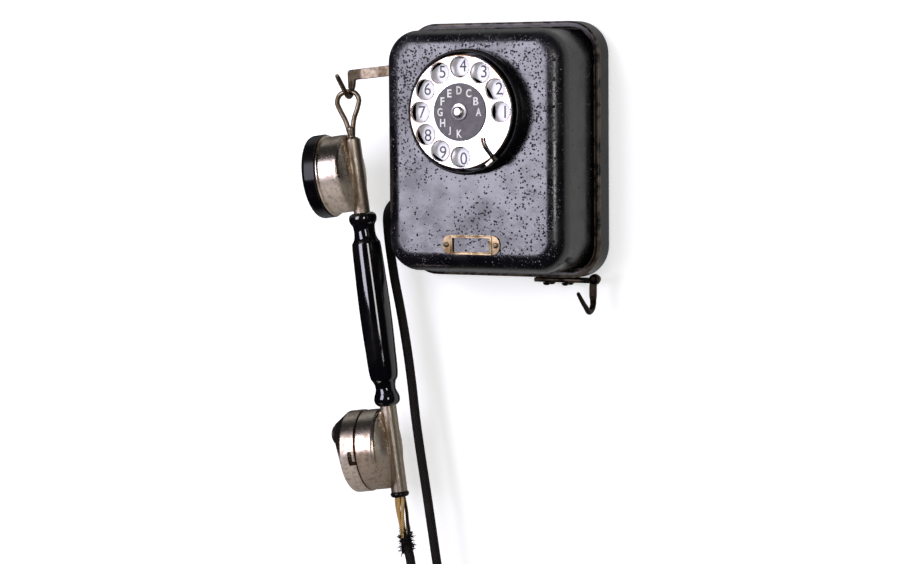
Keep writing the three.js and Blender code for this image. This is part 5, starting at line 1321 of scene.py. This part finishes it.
# %% [markdown]
# The can ends in a thinner skirt that the cap slides over, and the pin stands on it. Only the
# part inside the bayonet slot can be seen, and both get a nearly black finish, a painted
# shade for the slot's recess.

# %% Skirt and pin
skirt = facing(TRANSMITTER_DOWN)(turned(np.array([
    (26.5, 17.75), (27.5, 17.75), (27.5, 24.4), (26.5, 24.4), (26.5, 17.75),
]), 128))
pin_section, pin_marks = softened(
    [(0, 26.8), (1.2, 26.8), (1.2, 29.0), (0.6, 29.35), (0, 29.4)], [0, 0, 0.3, 0.3, 0]
)
pin = turned(pin_section, 24)
pin_angle = math.radians(1)
pin_points = in_handset(np.stack([
    pin[..., 0] - 22.1,
    -TRANSMITTER_DOWN + pin[..., 2] * math.cos(pin_angle) - pin[..., 1] * math.sin(pin_angle),
    pin[..., 2] * math.sin(pin_angle) + pin[..., 1] * math.cos(pin_angle),
], axis=-1))
points, faces = gathered((skirt, grid_faces(skirt)), (pin_points, grid_faces(pin)))
marks = np.concatenate([np.zeros(len(skirt) * 128), np.repeat(pin_marks, 24)])
fit(make_piece("transmitter_skirt", points, faces, marks), slot_shade_nickel, "handset", "nickel")

# %% [markdown]
# The transmitter's cap is not quite turned work: its front is a cone whose tip lies off the axis,
# towards the receiver. So each ring has a third number, how far its centre is shifted up the tube.

# %% Transmitter cap
CAP_RADIUS, TIP_UP = 28.8, 12.7
cap_section = [
    (CAP_RADIUS, 18.6, 0), (CAP_RADIUS, 29.0, 0), (27.9, 30.2, 0), (8.3, 40.6, TIP_UP),
    (6.9, 41.1, TIP_UP), (6.6, 42.4, TIP_UP), (3.8, 44.0, TIP_UP), (2.5, 44.0, TIP_UP),
    (2.5, 41.4, TIP_UP), (6.6, 39.6, TIP_UP), (27.0, 28.6, 0), (27.8, 27.9, 0), (27.8, 18.6, 0),
]
cap_soft = [0.2, 0.8, 0.8, 0.8, 0.4, 0.7, 0.6, 0.3, 0.3, 0.5, 0.3, 0.3, 0.2]
cap_section, cap_marks = softened(cap_section, cap_soft, closed=True, steps=5)
turn = np.linspace(0, 2 * math.pi, 144, endpoint=False)
radius, out_by, shift = (cap_section[:, i:i + 1] for i in range(3))
cap_rings = in_handset(np.stack([
    -out_by + 0 * turn, -TRANSMITTER_DOWN + shift + radius * np.cos(turn), radius * np.sin(turn),
], axis=-1))
cap = make_piece("transmitter_mouth_cap", cap_rings, grid_faces(cap_rings), cap_marks)

# %% Bayonet slot
# The slot is drawn flat, as (distance round the cap, distance from the tube), and wrapped round:
# a distance s becomes the angle s / radius, and the outline is carried from inside to outside.
slot = [(-2.86, 20.5), (-2.86, 23.7), (7.38, 23.7), (7.38, 16.5), (4.18, 16.5), (4.18, 20.5)]
slot, _ = softened(slot, [1.5, 1.5, 1.5, 0.1, 0.1, 0.8], closed=True, steps=6)
angle, out_by = slot[:-1, 0] / CAP_RADIUS, slot[:-1, 1]
rings = np.array([
    np.column_stack([-out_by, -TRANSMITTER_DOWN - r * np.sin(angle), r * np.cos(angle)])
    for r in (25.5, 31.0)
])
carved(cap, make_piece("cutter", in_handset(rings), edge_capped(rings)))
fit(cap, cap_nickel, "transmitter_cap", "nickel", "transmitter_cap")

# %% Bushing at the tube's foot
foot = -TUBE_LENGTH
bushing_section = [
    (3.3, foot + 6), (4.5, foot + 6), (4.5, foot - 0.3), (6.3, foot - 0.3), (6.7, foot - 1.7),
    (5.7, foot - 3.4), (3.3, foot - 3.4),
]
bushing = turned_piece("tube_bushing_ring", bushing_section, 0.4, in_handset, closed=True, segments=48)
fit(bushing, ebonite, "handset", "ebonite", "tube_bushing")

# %% [markdown]
# ## Bare wires and the frayed braid
# Below the bushing the braid has worn away. Four cloth-covered wires show, twisted a little, with
# a few black strands of the braid left beside them. Where the braid begins it is torn: two wires
# run on over it, and its strands stand out in tufts and short hairs. These are thin tapered wires
# with random directions from a fixed seed.

# %% Wires
WIRES_FOOT = foot - 3.4 - 27
TORN = 12.0


def strand_path(angle, turns, beyond, spread):
    """A strand's path, from angle degrees: at each height it stands spread mm from the tube's line,
    and it turns by turns radians on the way down. It ends beyond mm below the wires' foot."""
    end = WIRES_FOOT - beyond
    heights = np.array([foot + 2, foot - 6, 0.5 * (WIRES_FOOT + foot), WIRES_FOOT + 2, end])
    shares = (foot + 2 - heights) / (foot + 2 - WIRES_FOOT)
    spread = np.append(spread, 3.0)
    turn = math.radians(angle) + turns * shares
    return smooth_path(np.column_stack([spread * np.cos(turn), heights, spread * np.sin(turn)]), 0.6)


def strands(name, paths, radius, *more):
    """Round wires along paths as one piece, with more grids added that have no weave of their own."""
    grids, uvs = [], []
    for path in paths:
        rings = swept(path, radius, (0, 0, 1), 14)
        grids.append((in_handset(rings), edge_capped(rings)))
        uvs.append(capped_uv(rings, path_length(path)))
    grids += more
    points, faces = gathered(*grids)
    plain = sum(len(face) for face in faces) - sum(len(uv) for uv in uvs)
    return make_piece(name, points, faces, uv=np.vstack(uvs + [np.zeros((plain, 2))]))


wire_paths = [
    strand_path(angle, 1.5, beyond, (2.0, 3.1, 3.1, 2.3))
    for angle, beyond in ((128, 9.5), (74, 8.0), (22, 2.0), (280, 0.5))
]
fit(strands("bare_wires", wire_paths, 1.18), wire_cloth, "handset", "ochre_cloth", "handset_wires")

# %% Torn braid
rng = np.random.default_rng(7)


def hairs(count, thick, shortest, longest, heights, aims):
    """Tapered hairs: base + way t + droop t^2 for t from 0 to 1. heights and aims are the middle
    and spread of where they start, round the tube's line, and of how steeply they stand out."""
    start_angle = rng.normal(aims[0], aims[1], count)
    start_height = WIRES_FOOT - rng.uniform(*heights, count)
    length = rng.uniform(shortest, longest, count)
    aim = np.stack([
        rng.uniform(0.3, 1.1, count), rng.normal(0.2, 1.0, count), rng.normal(0, 0.6, count),
    ], 1)
    aim /= np.linalg.norm(aim, axis=1)[:, None]
    out = np.stack([np.cos(start_angle), 0 * start_angle, np.sin(start_angle)], 1)
    aside = np.stack([-np.sin(start_angle), 0 * start_angle, np.cos(start_angle)], 1)
    up = np.array([0, 1, 0])
    way = aim[:, :1] * out + aim[:, 1:2] * up + aim[:, 2:] * aside
    base = rng.uniform(2.4, 3.2, count)[:, None] * out + start_height[:, None] * up
    t = np.linspace(0, 1, 5)[None, :, None]
    droop = rng.normal(0, 0.3, (count, 1, 3)) * length[:, None, None]
    lines = base[:, None] + way[:, None] * length[:, None, None] * t + droop * t**2
    around = np.linspace(0, 2 * math.pi, 5, endpoint=False)[None, None, :, None]
    side = np.cross(way, (0.31, 0.52, 0.8))
    side /= np.linalg.norm(side, axis=1)[:, None]
    other = np.cross(way, side)
    rings = np.cos(around) * side[:, None, None] + np.sin(around) * other[:, None, None]
    tubes = lines[:, :, None] + thick * (1 - 0.7 * t[..., None]) * rings
    return [(in_handset(one), edge_capped(one)) for one in tubes]


left_over = [
    strand_path(angle, 0.2, 1.0, spread)
    for angle, spread in (
        (8, (2.6, 3.3, 3.2, 3.4)), (-25, (2.6, 3.0, 3.0, 3.2)),
        (112, (2.0, 2.5, 2.3, 2.2)), (60, (2.0, 2.4, 2.2, 2.0)),
    )
]
tufts = hairs(50, 0.7, 1.8, 3.6, (1.0, TORN), (2.9, 0.7))
tufts += hairs(60, 0.7, 1.8, 3.6, (-3.0, TORN), (0.0, 0.8))
loose = hairs(340, 0.17, 1.5, 4.6, (-4.0, TORN), (0.8, 2.2))
frayed = strands("frayed_braid", left_over, 0.75, *tufts, *loose)
fit(frayed, cord_braid, "handset", "braid")

# %% [markdown]
# ## The hook for a second receiver
# Under the tray's right corner a riveted strip carries a small folding hook. The real one once held
# an extra ear-piece. It hangs from a pin, so it swings.

# %% Bracket strip
PIN_X, PIN_Z = 70.0, -87.6
strip_section, strip_marks = softened(
    [(-1.5, -90.6), (-14.5, -90.6), (-14.5, -87.6), (-1.5, -87.6)], [0.4, 1.0, 1.0, 0.4], closed=True
)


def run_along(section, places):
    """A section (y, z) carried along X, shrunk towards its middle by the share at each place."""
    middle = (section.max(0) + section.min(0)) / 2
    return np.array([
        np.insert(middle + (section[:-1] - middle) * share, 0, x, 1) for x, share in places
    ])


strip_rings = run_along(strip_section, [(23.2, 0.92), (23.6, 1), (61.1, 1), (61.5, 0.92)])
arm_section, _ = softened(
    [(-12.5, -90.6), (-14.5, -90.6), (-14.5, -87.6), (-12.5, -87.6)], 0.4, closed=True
)
arm_rings = run_along(arm_section, [(60.6, 1), (70, 1)])
lug, _ = softened([(0, -12.5), (2.9, -12.5), (2.9, -14.5), (0, -14.5)], [0, 0.3, 0.3, 0])
lug_rings = turned(lug, 32) + (PIN_X, 0, PIN_Z)
points, faces = gathered(
    (strip_rings, edge_capped(strip_rings)), (arm_rings, edge_capped(arm_rings)),
    (lug_rings, grid_faces(lug_rings)),
)
marks = np.zeros(len(points))
marks[:strip_rings.shape[0] * strip_rings.shape[1]] = np.tile(strip_marks[:-1], 4)
strip = make_piece("spare_bracket_strip", points, faces, marks)
fit(strip, hook_steel, "case", "dark_steel", "spare_hook_bracket")

# %% Rivets
rivet, rivet_marks = softened(
    [(0, 0), (2.7, 0), (2.35, -1.2), (1.3, -1.95), (0, -2.1)], [0, 0.1, 0.6, 0.8, 0]
)
dome = turned(rivet, 32)
for number, (x, y) in enumerate([(31.8, -3.6), (31.8, -12), (45.9, -3.6), (45.9, -12)], 1):
    place = np.stack([x + dome[..., 0], y + dome[..., 2], -90.9 + dome[..., 1]], axis=-1)
    head = make_piece(f"rivet_head_{number}", place, grid_faces(place), rivet_marks)
    fit(head, hook_steel, "case", "dark_steel", f"bracket_rivet_{number}")

# %% Folding hook and its pin
HANG_X, PLATE_BACK, PLATE_FRONT = 68.5, -14.8, -17.6
angle = np.radians(np.linspace(-72, 198, 26))
outline = np.vstack([
    np.column_stack([PIN_X + 3.7 * np.cos(angle), PIN_Z + 3.7 * np.sin(angle)]),
    [(66.1, -93), (66.1, -99), (66.9, -103.6), (70.1, -103.6), (70.9, -99), (70.9, -93)],
])
plate = plate_grid(outline, PLATE_BACK, PLATE_FRONT, 0.4)
hook_path = smooth_path([
    (HANG_X, -16.2, -100.6), (HANG_X, -16.2, -104.6), (HANG_X, -18.18, -107.8), (HANG_X, -22.8, -109.4),
    (HANG_X, -28.02, -105.864), (HANG_X, -34.98, -100.424), (HANG_X, -40.2, -95.8),
], 0.5)
hook_rings, hook_faces = wire_grid(hook_path, np.linspace(2.2, 1.3, len(hook_path)), (1, 0, 0), 20)
hook = make_piece("spare_hook_wire", *plate)
carved(hook, bar(1.6, (PIN_X, -10, PIN_Z), (PIN_X, -20, PIN_Z), 32))
joined(hook, make_piece("wire", hook_rings, hook_faces, 0.4))
fit(hook, hook_steel, "spare_hook", "dark_steel", "spare_hook")

pin_head = turned_piece(
    "spare_hook_pin_head",
    [(0, -12.5), (1.3, -12.5), (1.3, -17.9), (3.5, -17.9), (3.5, -18.86), (2.1, -19.5), (0, -19.6)],
    [0, 0.1, 0.1, 0.2, 0.5, 0.6, 0], lambda points: points + (PIN_X, 0, PIN_Z), segments=40,
)
fit(pin_head, hook_steel, "case", "dark_steel", "spare_hook_pin")

# %% Cord grommet
grommet_section = [(3.6, 66.5), (4.7, 66.5), (4.7, 68.75), (7, 68.75), (7, 71.5), (5, 72.5), (3.6, 72.3)]
grommet = turned_piece(
    "cord_grommet_ring", grommet_section, [0.3, 0.3, 0.2, 0.5, 0.9, 0.7, 0.5],
    lambda points: np.stack([-points[..., 1], points[..., 0] + CORD_Y, points[..., 2] + CORD_Z], -1),
    closed=True, segments=48,
)
fit(grommet, ebonite, "case", "ebonite", "cord_grommet")

# %% [markdown]
# ## Inside the case
# The works can't be seen until the cover comes off, so the CAD solids stay and only get finishes:
# brass gears, steel frames, silk-covered coils, fibre blocks. A finish goes in each solid's own
# material slot, and its mesh is left alone.

# %% Finishes of the inner works
INNER = {
    "dial_frame": bare_steel, "dial_bridge": plain_brass, "dial_shaft": bare_steel,
    "main_gear": plain_brass, "dial_spring_drum": plain_brass, "impulse_springs": fibre_board,
    "drive_gear": plain_brass, "governor": plain_brass, "bell_frame": bare_steel,
    "gong_left": can_nickel, "gong_right": can_nickel, "gong_screw_left": bare_steel,
    "gong_screw_right": bare_steel, "bell_coil_left": winding, "bell_coil_right": winding,
    "bell_magnet": hook_steel, "clapper": plain_brass, "induction_coil": winding,
    "condenser": bare_steel, "terminal_block": fibre_board, "hook_post": bare_steel,
    "hook_pivot_screw": bare_steel, "lever_spring": bare_steel, "switch_springs": fibre_board,
    "receiver_diaphragm": bare_steel, "receiver_magnet": hook_steel, "carbon_capsule": plain_brass,
}
for node_name, material in INNER.items():
    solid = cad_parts[node_name]
    if not solid.data.materials:
        solid.data.materials.append(material)
    for slot_number in range(len(solid.material_slots)):
        solid.material_slots[slot_number].material = material
print(len(INNER), "inner pieces finished")

# %% [markdown]
# ## Wall, floor and light
# The wall behind is plain white and so is the floor, a little below the cord. Both are only a
# stage. The two light streaks on the grip tell where the lamps stood: a tall soft box at the left
# front, which is also what the whole face mirrors, and a narrower one at the right front. A third
# lamp, above, fills the shadows and leaves no highlight. The world is white to the camera. In
# reflections it is dark in front and on the left, so that the case's rounded edges turn black, and
# pale behind on the right, which greys the case's side.

# %% Stage
WALL_BACK, FLOOR_LEVEL = 2.0, -520.0
STAGE_X, STAGE_Y, STAGE_Z = 2500, -3500, 1500
SELF_LIT = 0.5


def flat_sheet(name, corners, material):
    sheet = make_piece(name, corners, [[0, 1, 2, 3]])
    sheet.data.materials.append(material)
    return sheet


def backdrop(name, shade):
    """Pale paint with a lift for the camera, so that it shows as white, less the shadows on it.
    Its back is clear, so the telephone can also be looked at from behind."""
    material, tree, to = finish(name)
    to["Base Color"].default_value = (shade, shade, shade, 1)
    to["Roughness"].default_value = 0.9
    ray = add(tree, "ShaderNodeLightPath")
    to["Emission Color"].default_value = (1, 1, 1, 1)
    feed(tree, to["Emission Strength"], times(tree, ray.outputs["Is Camera Ray"], SELF_LIT))
    clear = add(tree, "ShaderNodeBsdfTransparent")
    either = add(tree, "ShaderNodeMixShader")
    feed(tree, either.inputs[0], add(tree, "ShaderNodeNewGeometry").outputs["Backfacing"])
    feed(tree, either.inputs[1], tree.nodes["Principled BSDF"].outputs[0])
    feed(tree, either.inputs[2], clear.outputs[0])
    feed(tree, tree.nodes["Material Output"].inputs["Surface"], either.outputs[0])
    return material


wall_paint, floor_paint = backdrop("wall_paint", 0.82), backdrop("floor_paint", 0.5)
wall = flat_sheet("stage_wall", [
    (-STAGE_X, WALL_BACK, -STAGE_Z), (STAGE_X, WALL_BACK, -STAGE_Z),
    (STAGE_X, WALL_BACK, STAGE_Z), (-STAGE_X, WALL_BACK, STAGE_Z),
], wall_paint)
wall.visible_glossy = False
flat_sheet("stage_floor", [
    (-STAGE_X, WALL_BACK, FLOOR_LEVEL), (STAGE_X, WALL_BACK, FLOOR_LEVEL),
    (STAGE_X, STAGE_Y, FLOOR_LEVEL), (-STAGE_X, STAGE_Y, FLOOR_LEVEL),
], floor_paint)

# %% Lamps


LAMP_AIM = (0, -40, 0)


def softbox(name, azimuth, elevation, distance, width, height, power, tint=(1, 1, 1), mirrored=True):
    """An area lamp at a direction from the telephone: azimuth 0 is straight in front and grows
    towards +X. It faces the case, the camera doesn't see it, and one that isn't mirrored leaves
    no highlight either. Sizes and distance are in metres, the power in watts."""
    a, e = math.radians(azimuth), math.radians(elevation)
    toward = Vector((math.sin(a) * math.cos(e), -math.cos(a) * math.cos(e), math.sin(e)))
    data = bpy.data.lights.new(name, "AREA")
    data.shape, data.size, data.size_y, data.energy = "RECTANGLE", width, height, power
    lamp = bpy.data.objects.new(name, data)
    lamp.location = Vector(LAMP_AIM) * MM + toward * distance
    lamp.rotation_euler = toward.to_track_quat("Z", "Y").to_euler()
    data.color = tint
    lamp.visible_camera, lamp.visible_glossy = False, mirrored
    bpy.context.scene.collection.objects.link(lamp)


softbox("key_left", -24, 13, 1.75, 0.8, 1.3, 20.0, (0.86, 0.83, 1.0))
softbox("second_right", 37, 8, 1.9, 0.36, 0.9, 6.0, (1.0, 0.96, 0.95))
softbox("top_fill", -20, 60, 1.7, 1.4, 1.0, 5.0, mirrored=False)

# %% World
# Each ramp reads the direction of a ray: behind grows towards the wall, sideways to the right and
# away from level, and overhead towards straight up.
ROOM_LIGHT, PALE_SIDE = 0.36, 0.45
world = bpy.data.worlds.new("pale_room")
bpy.context.scene.world = world
world.use_nodes = True
tree = world.node_tree
background = tree.nodes["Background"]
ray = add(tree, "ShaderNodeLightPath")
direction = add(tree, "ShaderNodeSeparateXYZ")
feed(tree, direction.inputs[0], add(tree, "ShaderNodeTexCoord").outputs["Generated"])
behind = ramp(tree, direction.outputs["Y"], 0.0, 0.35)
steep = times(tree, sums(tree, "ABSOLUTE", direction.outputs["Z"]), 0.8)
sideways = ramp(tree, plus(tree, direction.outputs["X"], steep), -0.4, 0.2)
overhead = ramp(tree, direction.outputs["Z"], 0.55, 0.95, 0.004, 0.03)
room = mixed(tree, times(tree, behind, sideways), overhead, PALE_SIDE)
level = mixed(tree, ray.outputs["Is Glossy Ray"], ROOM_LIGHT, room)
level = mixed(tree, ray.outputs["Is Camera Ray"], level, 1.0)
background.inputs["Color"].default_value = (1, 1, 1, 1)
feed(tree, background.inputs["Strength"], level)
bpy.context.scene.view_settings.view_transform = "Standard"
